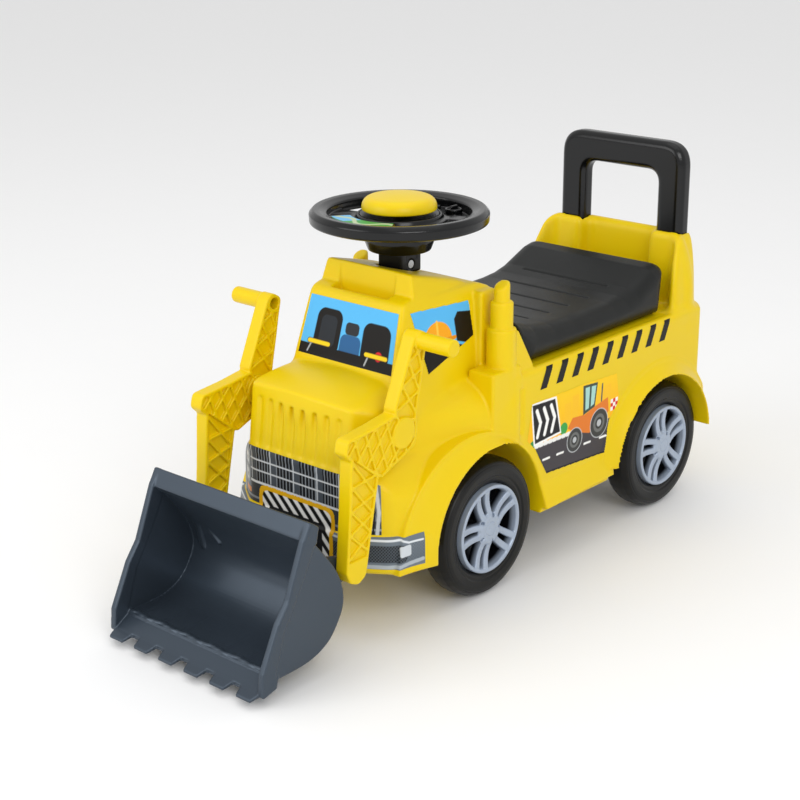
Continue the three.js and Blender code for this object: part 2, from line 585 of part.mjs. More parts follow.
function speaker() {
  return turnZ([[0.01, 339], [7, 339], [7, 341.5], [13.5, 343], [13.5, 344.5], [0.01, 344.5]],
    0, STEER_Y + 6, 24);
}

function hubCover() {
  return turnZ([[6.6, 346.4], [35.8, 346.4], [35.8, 349], [6.6, 349]], 0, STEER_Y, 24);
}

const BUTTON_Z = 352.4;                // skirt of the horn button at rest
const STEM_Z = 347.8;                  // foot of its stem, inside the hole of the hub cover

function hornButton() {
  return turnZ([[0.01, 368], [14, 367], [24, 363.8], [31, 358.6], [34, BUTTON_Z], [31.5, BUTTON_Z],
    [29, 357.4], [22.5, 361.8], [13, 364.6], [5.5, 364.6], [5.5, STEM_Z], [0.01, STEM_Z]], 0, STEER_Y, 20);
}

// A coil spring as a round wire swept along a helix, between the hub cover and the button.
class Helix extends THREE.Curve {
  constructor(radius, low, high, turns) {
    super();
    Object.assign(this, { radius, low, high, turns });
  }

  getPoint(t, target = new THREE.Vector3()) {
    const a = t * this.turns * 2 * Math.PI;
    return target.set(this.radius * Math.cos(a), STEER_Y + this.radius * Math.sin(a),
      this.low + (this.high - this.low) * t);
  }
}

function hornSpring() {
  const wire = new THREE.Shape();
  wire.absarc(0, 0, 0.6, 0, 2 * Math.PI, false);
  const path = new Helix(8.5, 350, 363.6, 4);
  return solid(new THREE.ExtrudeGeometry(wire, { steps: 36, curveSegments: 2, extrudePath: path }));
}

// ---- loader ----------------------------------------------------------------------------------------
const LEVER = [[-121.6, 276], [-113, 266], [-118.4, 253], [-120.4, 236], [-125, 215], [-128.3, 197],
  [-154, 203], [-156.3, 212], [-129.3, 273.5]];
const PLATE = [[-127, 190], [-127.6, 201], [-156, 209.5], [-181, 205], [-216.3, 201], [-217.2, 190],
  [-173, 157.6], [-145, 168.8], [-129.6, 176]];
const LEG = [[-209, 193], [-174, 168], [-175.8, 157], [-183.8, 123], [-191.8, 89],
  ...arc(BUCKET_Y, BUCKET_Z, 12, -18, -172, 5), [-217.3, 84], [-213, 133]];

function shrunk(outline, by) {
  const count = outline.length;
  const middle = outline.reduce(([y, z], [py, pz]) => [y + py / count, z + pz / count], [0, 0]);
  return outline.map(([y, z]) => {
    const away = Math.hypot(y - middle[0], z - middle[1]);
    const keep = Math.max(0, away - by) / away;
    return [middle[0] + (y - middle[0]) * keep, middle[1] + (z - middle[1]) * keep];
  });
}

// An arm is a lever, a plate and a leg in one moulding, recessed on both faces, with a hollow hand peg.
function arm(s) {
  const outlines = [LEVER, PLATE, LEG];
  const blank = union(outlines.map((o) => slab(o, s * ARM_IN, s * ARM_OUT)),
    cylinderX(13.5, s * ARM_IN, s * ARM_OUT, ARM_Y, ARM_Z));
  const keepSolid = union(cylinderX(13.5, s * ARM_IN, s * ARM_OUT, ARM_Y, ARM_Z),
    cylinderX(11, s * ARM_IN, s * ARM_OUT, BUCKET_Y, BUCKET_Z));
  const recess = union(outlines.map((o) => union(
    slab(shrunk(o, 7), s * (ARM_OUT - 4), s * (ARM_OUT + 1)),
    slab(shrunk(o, 7), s * (ARM_IN - 1), s * (ARM_IN + 4)))));
  const peg = cylinderX(7.5, s * (ARM_IN + 4), s * PEG_END, PEG_Y, PEG_Z);
  const pegBore = cylinderX(5, s * (ARM_IN - 2), s * (PEG_END - 4), PEG_Y, PEG_Z, 12);
  const pinBore = cylinderX(AXLE_R + RUN, s * (ARM_IN - 2), s * (ARM_OUT - 3), ARM_Y, ARM_Z);
  const footBore = cylinderX(3 + RUN, s * (ARM_IN - 2), s * (ARM_OUT - 3), BUCKET_Y, BUCKET_Z, 16);
  return cut(union(cut(blank, cut(recess, keepSolid)), peg), pegBore, pinBore, footBore);
}

function loaderPin(s) {
  return cylinderX(AXLE_R, s * 64.5, s * (ARM_OUT - 4), ARM_Y, ARM_Z);
}

// The scoop's outer floor and back in the side view, from the mouth's foot round to its top.
const SCOOP = [[-303, 20], [-265, 21], [-241, 30], [-227, 46], [-221, 61], [-223, 78], [-232, 97],
  [-253, 124], [-251, 139], [-260, 145]];
const MOUTH_TOP = [-264, 134];
const MOUTH_FOOT = [-309, 30];
const FLOOR_TIP = [-318, 12];          // front edge of the sloping lip, between the teeth
const TEETH = 6;

function bucket() {
  const outside = slab([...SCOOP, MOUTH_TOP, MOUTH_FOOT], -BUCKET_X + 2, BUCKET_X - 2);
  const inner = shrunk(SCOOP.slice(1, -3), 3);
  const hollow = slab([[-345, 23.2], [-300, 23.2], ...inner, [-258, 124], [-265, 135], [-265, 160],
    [-345, 160]], -BUCKET_X + 5, BUCKET_X - 5);
  const frame = slab([[-251, 139], [-260, 145], [-268, 134], [-300, 69], [-318, 30], FLOOR_TIP, [-303, 12],
    [-303, 24], [-290, 62], [-254, 130]], -BUCKET_X, BUCKET_X);
  const frameInside = slab([[-345, 23.2], [-280, 23.2], [-240, 122], [-246, 160], [-345, 160]],
    -BUCKET_X + 6, BUCKET_X - 6);
  const lip = slab([[-300, 23.2], [-300, 19], FLOOR_TIP, [-319, 15], [-308, 23.2]], -BUCKET_X, BUCKET_X);
  const pitch = (2 * BUCKET_X) / TEETH;
  const teeth = Array.from({ length: TEETH }, (_, i) => {
    const x = -BUCKET_X + pitch * (i + 0.5);
    return hull([[x - 11, -316, 12.6], [x + 11, -316, 12.6], [x - 11, -316, 16], [x + 11, -316, 16],
      [x - 8, FRONT_END, 6.5], [x + 8, FRONT_END, 6.5], [x - 8, FRONT_END, 8.5], [x + 8, FRONT_END, 8.5]]);
  });
  const lugOutline = [[-224, 66], [-204, 72], ...arc(BUCKET_Y, BUCKET_Z, 10, -80, 80, 6), [-230, 100]];
  const lugs = SIDES.map(([, s]) => slab(lugOutline, s * 74, s * (ARM_IN - 0.6)));
  const pinHoles = SIDES.map(([, s]) => cylinderX(3 + GAP, s * 70, s * 82, BUCKET_Y, BUCKET_Z, 16));
  return cut(union(cut(outside, hollow), cut(frame, frameInside), lip, teeth, lugs), pinHoles);
}

function bucketPin(s) {
  return cylinderX(3, s * 74.5, s * (ARM_OUT - 4), BUCKET_Y, BUCKET_Z, 16);
}

// ---- assembly --------------------------------------------------------------------------------------
place('body_shell', 'yellow', bodyShell());
place('base_tray', 'black', baseTray());
place('storage_bin', 'grey', storageBin());
place('seat_lid', 'black', seatLid());
place('seat_hinge_rod', 'steel', cylinderX(2, -61, 61, HINGE_Y, HINGE_Z, 16));
place('rear_handle', 'black', rearHandle());
place('roof_bush', 'grey', roofBush());
place('steering_wheel', 'black', steeringWheel());
place('hub_cover', 'black', hubCover());
place('horn_button', 'yellow', hornButton());
place('horn_spring', 'steel', hornSpring());
place('sound_module', 'green', soundModule());
place('speaker', 'grey', speaker());
place('battery_1', 'grey', battery(-7.4));
place('battery_2', 'grey', battery(7.4));
place('steering_post', 'black', steeringPost());
place('steering_rod', 'steel', steeringRod());
place('column_bolt', 'steel', columnBolt());
place('column_nut', 'steel', columnNut());
place('tie_rod', 'black', tieRod());
place('rear_axle', 'steel', cylinderX(AXLE_R, -AXLE_END, AXLE_END, REAR_AXLE_Y, AXLE_Z));
place('bucket', 'slate', bucket());
TRAY_SCREWS.forEach((at, i) => place(`tray_screw_${i + 1}`, 'steel', trayScrew(at)));
for (const [side, s] of SIDES) {
  place(`handle_screw_${side}`, 'steel', handleScrew(s));
  place(`knuckle_${side}`, 'black', knuckle(s));
  place(`kingpin_${side}`, 'steel', cylinderZ(KINGPIN_R, s * KINGPIN_X, FRONT_AXLE_Y, 49, 82, 12));
  place(`stub_axle_${side}`, 'steel', cylinderX(AXLE_R, s * 56, s * AXLE_END, FRONT_AXLE_Y, AXLE_Z));
  place(`arm_${side}`, 'yellow', arm(s));
  place(`loader_pin_${side}`, 'steel', loaderPin(s));
  place(`bucket_pin_${side}`, 'steel', bucketPin(s));
  for (const [end, y] of [['front', FRONT_AXLE_Y], ['rear', REAR_AXLE_Y]]) {
    place(`tyre_${end}_${side}`, 'tyre', tyre(s, y));
    place(`rim_${end}_${side}`, 'silver', rim(s, y));
    place(`wheel_cap_${end}_${side}`, 'silver', wheelCap(s, y));
    place(`axle_nut_${end}_${side}`, 'steel', axleNut(s, y));
  }
}

export default digger;
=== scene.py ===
"""Ride-on digger: the moulded shells, wheels, seat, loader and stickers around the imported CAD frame.

Most visible pieces are soft plastic mouldings. Each is modelled as a signed-distance field in millimetres,
with rounded joins between its masses, and then meshed. A printed film is a coloured grid dropped onto one.
"""
import json
import math
import bmesh
import bpy
import numpy as np
import openvdb
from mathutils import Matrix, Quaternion, Vector
from mathutils.bvhtree import BVHTree


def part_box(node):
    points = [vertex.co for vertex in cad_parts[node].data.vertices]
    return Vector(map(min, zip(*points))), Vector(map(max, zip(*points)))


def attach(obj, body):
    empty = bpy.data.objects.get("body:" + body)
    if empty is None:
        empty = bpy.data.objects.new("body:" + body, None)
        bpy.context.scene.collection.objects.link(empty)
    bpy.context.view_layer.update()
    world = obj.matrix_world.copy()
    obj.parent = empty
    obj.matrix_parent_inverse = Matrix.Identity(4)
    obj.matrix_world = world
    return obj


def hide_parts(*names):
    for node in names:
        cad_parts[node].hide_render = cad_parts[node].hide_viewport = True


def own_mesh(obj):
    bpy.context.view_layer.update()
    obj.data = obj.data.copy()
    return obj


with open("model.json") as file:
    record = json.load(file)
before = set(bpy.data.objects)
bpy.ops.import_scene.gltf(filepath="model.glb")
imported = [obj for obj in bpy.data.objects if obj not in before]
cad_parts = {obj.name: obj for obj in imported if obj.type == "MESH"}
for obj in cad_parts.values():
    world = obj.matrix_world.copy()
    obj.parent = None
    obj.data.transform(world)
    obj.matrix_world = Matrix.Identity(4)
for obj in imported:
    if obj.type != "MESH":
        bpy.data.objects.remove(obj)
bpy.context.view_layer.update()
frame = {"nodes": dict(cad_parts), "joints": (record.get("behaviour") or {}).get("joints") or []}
MM = 0.001
SIDES = (("left", 1), ("right", -1))    # each side's name and the sign of its x
COARSE = 1.0
BAND = 6.0                              # distances further than this from a surface are not needed

# ---------------------------------------------------------------- places taken from the frame, in mm


def node_box(name):
    low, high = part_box(name)
    return np.array(low) / MM, np.array(high) / MM


def joint_place(name):
    found = [j for j in frame["joints"] if j["name"] == name][0]
    return np.array(found["pos_m"]) / MM


_, FRONT_Y, AXLE_Z = joint_place("wheel_front_left_spin")
REAR_Y = joint_place("wheel_rear_left_spin")[1]
STEER_Y = joint_place("steering_turn")[1]
ARM_Y, ARM_Z = joint_place("loader_lift")[1:]
FOOT_Y, FOOT_Z = joint_place("bucket_tilt")[1:]
HINGE_Y, HINGE_Z = joint_place("seat_open")[1:]
TYRE_LOW, TYRE_HIGH = node_box("tyre_front_left")
TYRE_R = (TYRE_HIGH[2] - TYRE_LOW[2]) / 2
BODY_HIGH = node_box("body_shell")[1]
BACK_Y = BODY_HIGH[1]
LIP_X = BODY_HIGH[0]
ARM_LOW, ARM_HIGH = node_box("arm_left")
BUCKET_LOW, BUCKET_HIGH = node_box("bucket")
WHEEL_LOW, WHEEL_HIGH = node_box("steering_wheel")
STEER_R = WHEEL_HIGH[0]
STEER_TOP = WHEEL_HIGH[2]
HANDLE_LOW, HANDLE_HIGH = node_box("rear_handle")
SCREW_X, SCREW_Z = 60.5, 255            # the screws through the handle's feet
PIN_HIGH = node_box("loader_pin_left")[1]

# ---------------------------------------------------------------- signed-distance tools


def smin(a, b, k):
    if k <= 0:
        return np.minimum(a, b)
    h = np.maximum(k - np.abs(a - b), 0) / k
    return np.minimum(a, b) - h * h * k / 4


def smax(a, b, k):
    return -smin(-a, -b, k)


def beyond(v, low, high):
    """How far v is outside the stretch from low to high; it is negative inside."""
    return np.abs(v - (low + high) / 2) - (high - low) / 2


def hull(points, k=3.0, mirror=True):
    """A convex mass through the points, its edges rounded by about k."""
    made = bmesh.new()
    for p in points:
        made.verts.new(p)
        if mirror:
            made.verts.new((-p[0], p[1], p[2]))
    bmesh.ops.convex_hull(made, input=made.verts[:])
    made.normal_update()
    planes = {}
    for f in made.faces:
        away = f.normal.dot(f.calc_center_median())
        same = (*(round(v, 2) for v in f.normal), round(away, 1))
        planes[same] = (f.normal.copy(), away)
    co = np.array([v.co for v in made.verts])
    made.free()

    def distance(x, y, z):
        d = None
        for n, c in planes.values():
            e = n[0] * x + n[1] * y + n[2] * z - c
            d = e if d is None else smax(d, e, k)
        return d

    return distance, co.min(0), co.max(0)


def box(x0, x1, y0, y1, z0, z1, k=0.0):
    def distance(x, y, z):
        return smax(smax(beyond(x, x0, x1), beyond(y, y0, y1), k), beyond(z, z0, z1), k)

    return distance, np.array((x0, y0, z0)), np.array((x1, y1, z1))


def rod_x(r, x0, x1, y, z, k=0.0):
    def distance(px, py, pz):
        return smax(np.hypot(py - y, pz - z) - r, beyond(px, x0, x1), k)

    return distance, np.array((x0, y - r, z - r)), np.array((x1, y + r, z + r))


def rod_y(r, x, y0, y1, z, k=0.0):
    def distance(px, py, pz):
        return smax(np.hypot(px - x, pz - z) - r, beyond(py, y0, y1), k)

    return distance, np.array((x - r, y0, z - r)), np.array((x + r, y1, z + r))


def rod_z(r, x, y, z0, z1, k=0.0):
    def distance(px, py, pz):
        return smax(np.hypot(px - x, py - y) - r, beyond(pz, z0, z1), k)

    return distance, np.array((x - r, y - r, z0)), np.array((x + r, y + r, z1))


def capsule(a, b, r0, r1=None):
    """A round bar from a to b; its radius may change along it."""
    a, b = np.array(a, float), np.array(b, float)
    r1 = r0 if r1 is None else r1
    axis = b - a

    def distance(x, y, z):
        t = ((x - a[0]) * axis[0] + (y - a[1]) * axis[1] + (z - a[2]) * axis[2]) / axis.dot(axis)
        t = np.clip(t, 0, 1)
        dx, dy, dz = x - a[0] - t * axis[0], y - a[1] - t * axis[1], z - a[2] - t * axis[2]
        return np.sqrt(dx * dx + dy * dy + dz * dz) - (r0 + (r1 - r0) * t)

    r = max(r0, r1)
    return distance, np.minimum(a, b) - r, np.maximum(a, b) + r


def ball(x, y, z, rx, ry, rz):
    def distance(px, py, pz):
        q = np.sqrt(((px - x) / rx) ** 2 + ((py - y) / ry) ** 2 + ((pz - z) / rz) ** 2)
        return (q - 1) * min(rx, ry, rz)

    return distance, np.array((x - rx, y - ry, z - rz)), np.array((x + rx, y + ry, z + rz))


def outline_distance(u, v, points):
    """The signed distance to a closed polygon in the plane of u and v."""
    pts = np.array(points, float)
    best = np.full(np.broadcast(u, v).shape, 1e9, np.float32)
    inside = np.zeros(best.shape, bool)
    for (au, av), (bu, bv) in zip(pts, np.roll(pts, -1, 0)):
        eu, ev = bu - au, bv - av
        t = np.clip(((u - au) * eu + (v - av) * ev) / max(eu * eu + ev * ev, 1e-9), 0, 1)
        best = np.minimum(best, (u - au - t * eu) ** 2 + (v - av - t * ev) ** 2)
        if ev != 0:
            crossing = ((av > v) != (bv > v)) & (u < (v - av) * eu / ev + au)
            inside ^= crossing
    return np.where(inside, -1, 1) * np.sqrt(best)


def slab(points, x0, x1, k=0.0):
    """A side outline of (y, z) points between x0 and x1."""
    pts = np.array(points, float)

    def distance(x, y, z):
        return smax(outline_distance(y, z, pts), beyond(x, x0, x1), k)

    low = np.array((x0, pts[:, 0].min(), pts[:, 1].min()))
    return distance, low, np.array((x1, pts[:, 0].max(), pts[:, 1].max()))


def turned_z(points, y0):
    """A (radius, height) outline turned about the upright axis through x = 0, y = y0."""
    pts = np.array(points, float)

    def distance(x, y, z):
        return outline_distance(np.hypot(x, y - y0), z, pts)

    r = pts[:, 0].max()
    return distance, np.array((-r, y0 - r, pts[:, 1].min())), np.array((r, y0 + r, pts[:, 1].max()))


def turned_x(points, y, z):
    """A (radius, x) outline turned about the axle through y and z."""
    pts = np.array(points, float)

    def distance(px, py, pz):
        return outline_distance(np.hypot(py - y, pz - z), px, pts)

    r = pts[:, 0].max()
    return distance, np.array((pts[:, 1].min(), y - r, z - r)), np.array((pts[:, 1].max(), y + r, z + r))


def custom(distance, low, high):
    """Any distance function, with the box that holds its shape."""
    return distance, np.array(low, float), np.array(high, float)


def rounded(points, r, steps=5):
    """The outline with each corner replaced by an arc of about radius r."""
    pts = [np.array(p, float) for p in points]
    out = []
    for i, p in enumerate(pts):
        a, b = pts[i - 1] - p, pts[(i + 1) % len(pts)] - p
        la, lb = np.linalg.norm(a), np.linalg.norm(b)
        a, b = a / la, b / lb
        half = math.acos(max(-1, min(1, float(a.dot(b))))) / 2
        if half > 1.5:
            out.append(p)
            continue
        back = min(r / math.tan(half), 0.45 * la, 0.45 * lb)
        for j in range(steps + 1):
            t = j / steps
            out.append((1 - t) ** 2 * (p + a * back) + 2 * t * (1 - t) * p + t * t * (p + b * back))
    return out


def arc(y, z, r, start, end, steps=8):
    angles = np.radians(np.linspace(start, end, steps + 1))
    return [(y + r * math.cos(a), z + r * math.sin(a)) for a in angles]


class Moulding:
    """A block of signed distances. Masses are added and cut; mirrored blocks hold the half with x >= 0."""

    def __init__(self, low, high, voxel, mirrored=True):
        self.voxel = voxel * COARSE
        self.mirrored = mirrored
        low = np.array(low, float)
        if mirrored:
            low[0] = 0
        count = np.ceil((np.array(high) - low) / self.voxel).astype(int) + 1
        self.axes = [(low[i] + np.arange(count[i]) * self.voxel).astype(np.float32) for i in range(3)]
        self.d = np.full(count, 50.0, np.float32)

    def _block(self, low, high, reach):
        part = []
        for axis, lo, hi in zip(self.axes, low, high):
            first = np.searchsorted(axis, lo - reach)
            part.append(slice(first, np.searchsorted(axis, hi + reach)))
        part = tuple(part)
        x, y, z = (axis[s] for axis, s in zip(self.axes, part))
        return part, x[:, None, None], y[None, :, None], z[None, None, :]

    def _change(self, shape, k, join):
        distance, low, high = shape
        part, x, y, z = self._block(low, high, k + 4 * self.voxel)
        if all(s.stop > s.start for s in part):
            self.d[part] = join(self.d[part], distance(x, y, z), k)

    def add(self, shape, k=0.0):
        self._change(shape, k, smin)

    def cut(self, shape, k=0.0):
        self._change(shape, k, lambda a, b, r: smax(a, -b, r))

    def keep(self, distance, k=0.0):
        """Cuts away everything that is outside the distance, over the whole block."""
        ends = np.array([(axis[0], axis[-1]) for axis in self.axes])
        self._change((distance, ends[:, 0], ends[:, 1]), k, smax)

    def mesh(self, name, smooth=1):
        d = self.d
        low = np.array([a[0] for a in self.axes])
        if self.mirrored:
            d = np.concatenate([d[:0:-1], d])
            low[0] = -self.axes[0][-1]
        grid = openvdb.FloatGrid(BAND)
        grid.copyFromArray(np.ascontiguousarray(np.clip(d, -BAND, BAND)))
        points, quads = grid.convertToQuads()
        points = relax(points, quads, smooth) * self.voxel + low
        return mesh_object(name, points * MM, quads[:, ::-1])


def relax(points, quads, rounds):
    """Evens out the mesh a little, without shrinking it."""
    edges = np.concatenate([quads[:, [i, (i + 1) % 4]] for i in range(4)])
    points = points.astype(np.float64)
    count = np.bincount(edges.ravel(), minlength=len(points))[:, None]
    for factor in (0.5, -0.52) * rounds:
        mean = np.zeros_like(points)
        for c in range(3):
            total = np.bincount(edges[:, 0], points[edges[:, 1], c], len(points))
            total += np.bincount(edges[:, 1], points[edges[:, 0], c], len(points))
            mean[:, c] = total / np.maximum(count[:, 0], 1)
        points += (mean - points) * factor
    return points


def mesh_object(name, points, faces):
    mesh = bpy.data.meshes.new(name)
    points = np.asarray(points, np.float32)
    faces = np.asarray(faces, np.int32)
    mesh.vertices.add(len(points))
    mesh.vertices.foreach_set("co", points.ravel())
    mesh.loops.add(faces.size)
    mesh.loops.foreach_set("vertex_index", faces.ravel())
    mesh.polygons.add(len(faces))
    mesh.polygons.foreach_set("loop_start", np.arange(0, faces.size, faces.shape[1], dtype=np.int32))
    mesh.update(calc_edges=True)
    mesh.validate()
    mesh.polygons.foreach_set("use_smooth", [True] * len(mesh.polygons))
    made = bpy.data.objects.new(name, mesh)
    bpy.context.scene.collection.objects.link(made)
    return made


def finish_piece(piece, material, body, slot, *replaced):
    """Gives a piece its material and body, and hides the CAD nodes that it stands for."""
    piece.data.materials.clear()
    piece.data.materials.append(material)
    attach(piece, body)
    if replaced:
        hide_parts(*replaced)
    return piece


# ---------------------------------------------------------------- materials


def shader(name, color, roughness, **values):
    made = bpy.data.materials.new(name)
    made.use_nodes = True
    bsdf = made.node_tree.nodes["Principled BSDF"]
    bsdf.inputs["Base Color"].default_value = (*color, 1)
    bsdf.inputs["Roughness"].default_value = roughness
    for key, value in values.items():
        bsdf.inputs[key.replace("_", " ")].default_value = value
    return made, bsdf


def add_node(tree, kind, links=None, **values):
    made = tree.nodes.new(kind)
    for key, value in values.items():
        if isinstance(key, str) and key in made.inputs:
            made.inputs[key].default_value = value
        else:
            setattr(made, key, value)
    for key, socket in (links or {}).items():
        tree.links.new(socket, made.inputs[key])
    return made


def plastic(name, color, roughness, grain=0.00012, grain_scale=1800, mottle=0.05, **values):
    """Moulded plastic: a fine grain in the bump, faint flow marks in the colour and cloudy roughness."""
    made, bsdf = shader(name, color, roughness, **values)
    tree = made.node_tree
    place = add_node(tree, "ShaderNodeTexCoord").outputs["Object"]
    flow = add_node(tree, "ShaderNodeTexNoise", {"Vector": place}, Scale=14, Detail=3, Roughness=0.6)
    dark = tuple(c * (1 - mottle) for c in color)
    light = tuple(min(1, c * (1 + mottle)) for c in color)
    tint = add_node(tree, "ShaderNodeMix", {"Factor": flow.outputs["Fac"]}, data_type="RGBA")
    tint.inputs[6].default_value = (*dark, 1)
    tint.inputs[7].default_value = (*light, 1)
    tree.links.new(tint.outputs[2], bsdf.inputs["Base Color"])
    cloud = add_node(tree, "ShaderNodeTexNoise", {"Vector": place}, Scale=38, Detail=4, Roughness=0.55)
    gloss = add_node(tree, "ShaderNodeMapRange", {"Value": cloud.outputs["Fac"]})
    gloss.inputs["To Min"].default_value = roughness * 0.86
    gloss.inputs["To Max"].default_value = min(1, roughness * 1.16)
    tree.links.new(gloss.outputs["Result"], bsdf.inputs["Roughness"])
    fine = add_node(tree, "ShaderNodeTexNoise", {"Vector": place}, Scale=grain_scale, Detail=2)
    sink = add_node(tree, "ShaderNodeTexNoise", {"Vector": place}, Scale=24, Detail=1)
    waves = add_node(tree, "ShaderNodeBump", {"Height": sink.outputs["Fac"]}, Strength=0.08, Distance=0.002)
    heights = {"Height": fine.outputs["Fac"], "Normal": waves.outputs["Normal"]}
    bump = add_node(tree, "ShaderNodeBump", heights, Strength=0.35, Distance=grain)
    tree.links.new(bump.outputs["Normal"], bsdf.inputs["Normal"])
    return made


def linear(hex_color):
    parts = [int(hex_color[i:i + 2], 16) / 255 for i in (1, 3, 5)]
    return tuple(c / 12.92 if c < 0.04045 else ((c + 0.055) / 1.055) ** 2.4 for c in parts)


def printed(name, roughness, **values):
    """A surface coloured by the ink laid on each of its points, with a faint film grain."""
    made = plastic(name, (0.5, 0.5, 0.5), roughness, grain=0.00003, mottle=0.02, **values)
    tree = made.node_tree
    ink = add_node(tree, "ShaderNodeAttribute")
    ink.attribute_name = "ink"
    flow = [n for n in tree.nodes if n.type == "TEX_NOISE"][0]
    tone = add_node(tree, "ShaderNodeMapRange", {"Value": flow.outputs["Fac"]})
    tone.inputs["To Min"].default_value = 0.96
    tone.inputs["To Max"].default_value = 1.04
    tinted = add_node(tree, "ShaderNodeVectorMath", {0: ink.outputs["Color"]}, operation="SCALE")
    tree.links.new(tone.outputs["Result"], tinted.inputs["Scale"])
    tree.links.new(tinted.outputs["Vector"], tree.nodes["Principled BSDF"].inputs["Base Color"])
    return made


YELLOW = plastic("yellow_moulding", linear("#E6C600"), 0.36, mottle=0.02, Specular_IOR_Level=0.28,
                 Subsurface_Weight=0.08, Subsurface_Scale=0.003)
BLACK_SATIN = plastic("black_satin", linear("#0C0D0D"), 0.3, grain=0.0001, grain_scale=2600, mottle=0.12,
                      Specular_IOR_Level=0.3)
BLACK_GLOSS = plastic("black_gloss", linear("#060708"), 0.2, grain=0.00004, mottle=0.1,
                      Specular_IOR_Level=0.38)
SEAT_BLACK = plastic("seat_black", linear("#101211"), 0.42, grain=0.0003, grain_scale=2200, mottle=0.12,
                     Specular_IOR_Level=0.3)
TYRE_BLACK = plastic("tyre_plastic", linear("#0C0C0B"), 0.36, grain=0.0002, grain_scale=1500, mottle=0.15,
                     Specular_IOR_Level=0.26)
SLATE = plastic("slate_moulding", linear("#414B56"), 0.33, grain=0.00004, mottle=0.05, Metallic=0.55)
SILVER = printed("silver_pearl", 0.33, Metallic=0.3)
FILM = printed("printed_film", 0.35, Specular_IOR_Level=0.18)
PLAIN_BLACK = plastic("black_chassis", linear("#161718"), 0.55, grain=0.0002, mottle=0.12)
PLAIN_GREY = plastic("grey_moulding", linear("#8C8F92"), 0.5, grain=0.0002, mottle=0.06)
STEEL = plastic("zinc_plate", linear("#B9BCC0"), 0.3, grain=0.00008, grain_scale=900, mottle=0.15,
                Metallic=1.0)
BOARD = plastic("solder_mask", linear("#1E6B3C"), 0.35, grain=0.0001, grain_scale=700, mottle=0.25)
SLEEVE = plastic("battery_sleeve", linear("#5A5F66"), 0.25, grain=0.00005, mottle=0.1, Metallic=0.4)


# ---------------------------------------------------------------- body

WALL_T = 3.0 if COARSE == 1.0 else 7.0
PLEAT_X = (6.8, 20.4, 34.0, 47.6)       # grooves between the pleats of the bonnet panel
STACK_X, STACK_Y = 86, -2
STACK_STEPS = ((13.6, 249.6), (10.5, 274.5))    # radius and top of each drum
FLANK_X = 101                           # the plain side of the body, between the flares
LEDGE_Z = 204                           # the ledge under the seat lid
SHELL_FOOT = 60                         # the level whose plan shapes the opening underneath
SHELL_OPEN = 64                         # the shell has no floor below this height

# Each wheel opening is a circle; its flare runs out to a second circle, the crease.
FRONT_ARCH = {"y": -35.7, "z": 69, "r": 81, "crease": (-57, 64, 98), "reach": 110.5, "foot": 62, "depth": 44}
REAR_ARCH = {"y": 241, "z": 63, "r": 84, "crease": (240, 61, 99), "reach": LIP_X, "foot": 72, "depth": 60}
ARCHES = (FRONT_ARCH, REAR_ARCH)


def bonnet(body):
    """The bonnet with its pleated front panel, on a nose that rounds into the fenders."""
    body.add(hull([
        (58, -170, 57), (60, -181, 66), (60, -181, 156), (86, -155, 57), (93, -159, 66), (93, -156, 138),
        (105, -124, 62), (103, -117, 127), (104, -60, 60), (FLANK_X, -60, 146), (82, -60, 168),
        (78, -152, 155)], 6))
    body.add(hull([
        (60.5, -181, 148), (60.5, -172, 210), (1, -175.5, 213), (60, -163, 213), (1, -163, 216),
        (73, -156, 206), (76, -155, 150), (66, -133, 200),
        (50, -112, 221), (66, -60, 204), (78, -60, 150)], 3), 3)
    body.add(ball(0, -124, 197, 66, 46, 24), 12)
    for x in PLEAT_X:
        body.cut(capsule((x, -182.2, 158), (x, -175.4, 197), 2.9, 2.2), 2.5)


def cab(body):
    """The cab: sloping screen, raised roof box, and flanks that flow down to the fenders."""
    body.add(hull([
        (64, -127, 196), (61, -120, 222), (57, -101, 284), (55, -92, 289), (60, -4, 288), (64, 9, 282),
        (68, 9, 180), (70, -118, 180)], 3.5), 5)
    body.add(hull([(56, -88, 286), (50, -84.5, 309), (50, -22, 293.5), (56, -9, 286)], 2.5), 1.2)
    body.cut(box(-33, 33, -96, -84.4, 280, 320, 2), 1)
    body.add(hull([
        (79, -112, 150), (79, -100, 184), (74, -60, 200), (98, -54, 150), (80, 9, 208), (104, 9, 190),
        (104, 9, 60), (79, -112, 60)], 9), 7)
    body.add(box(58, 72, -14, 9, 170, 282, 4), 3)


def rear_body(body):
    """The hull around the seat, the ledge and the backrest with its two wings."""
    body.add(hull([
        (100, 0, 57), (100, 0, 203), (98, 0, 205), (98, 300, 205), (100, 314, 72), (100, 314, 203),
        (88, BACK_Y, 204), (88, BACK_Y, 72), (100, 300, 57)], 3), 4)
    body.add(hull([
        (99, 312, 180), (87, BACK_Y, 180), (99, 290, 180), (97, 309, 240), (84, 326.5, 240),
        (87, 306, 272), (96, 294, 240), (82, 325, 278), (80, 295, 279), (86, 298, 272)], 8), 6)
    body.add(hull([
        (98, 268, 198), (98, 300, 198), (70, 300, 198), (84, 268, 198), (97, 270, 245), (96, 300, 245),
        (70, 300, 245), (84, 270, 245), (88, 283, 277), (87, 300, 279), (70, 300, 279), (80, 285, 278)],
        10, False), 9)
    body.cut(box(-42, 42, 270, 311, 222, 300, 12), 10)


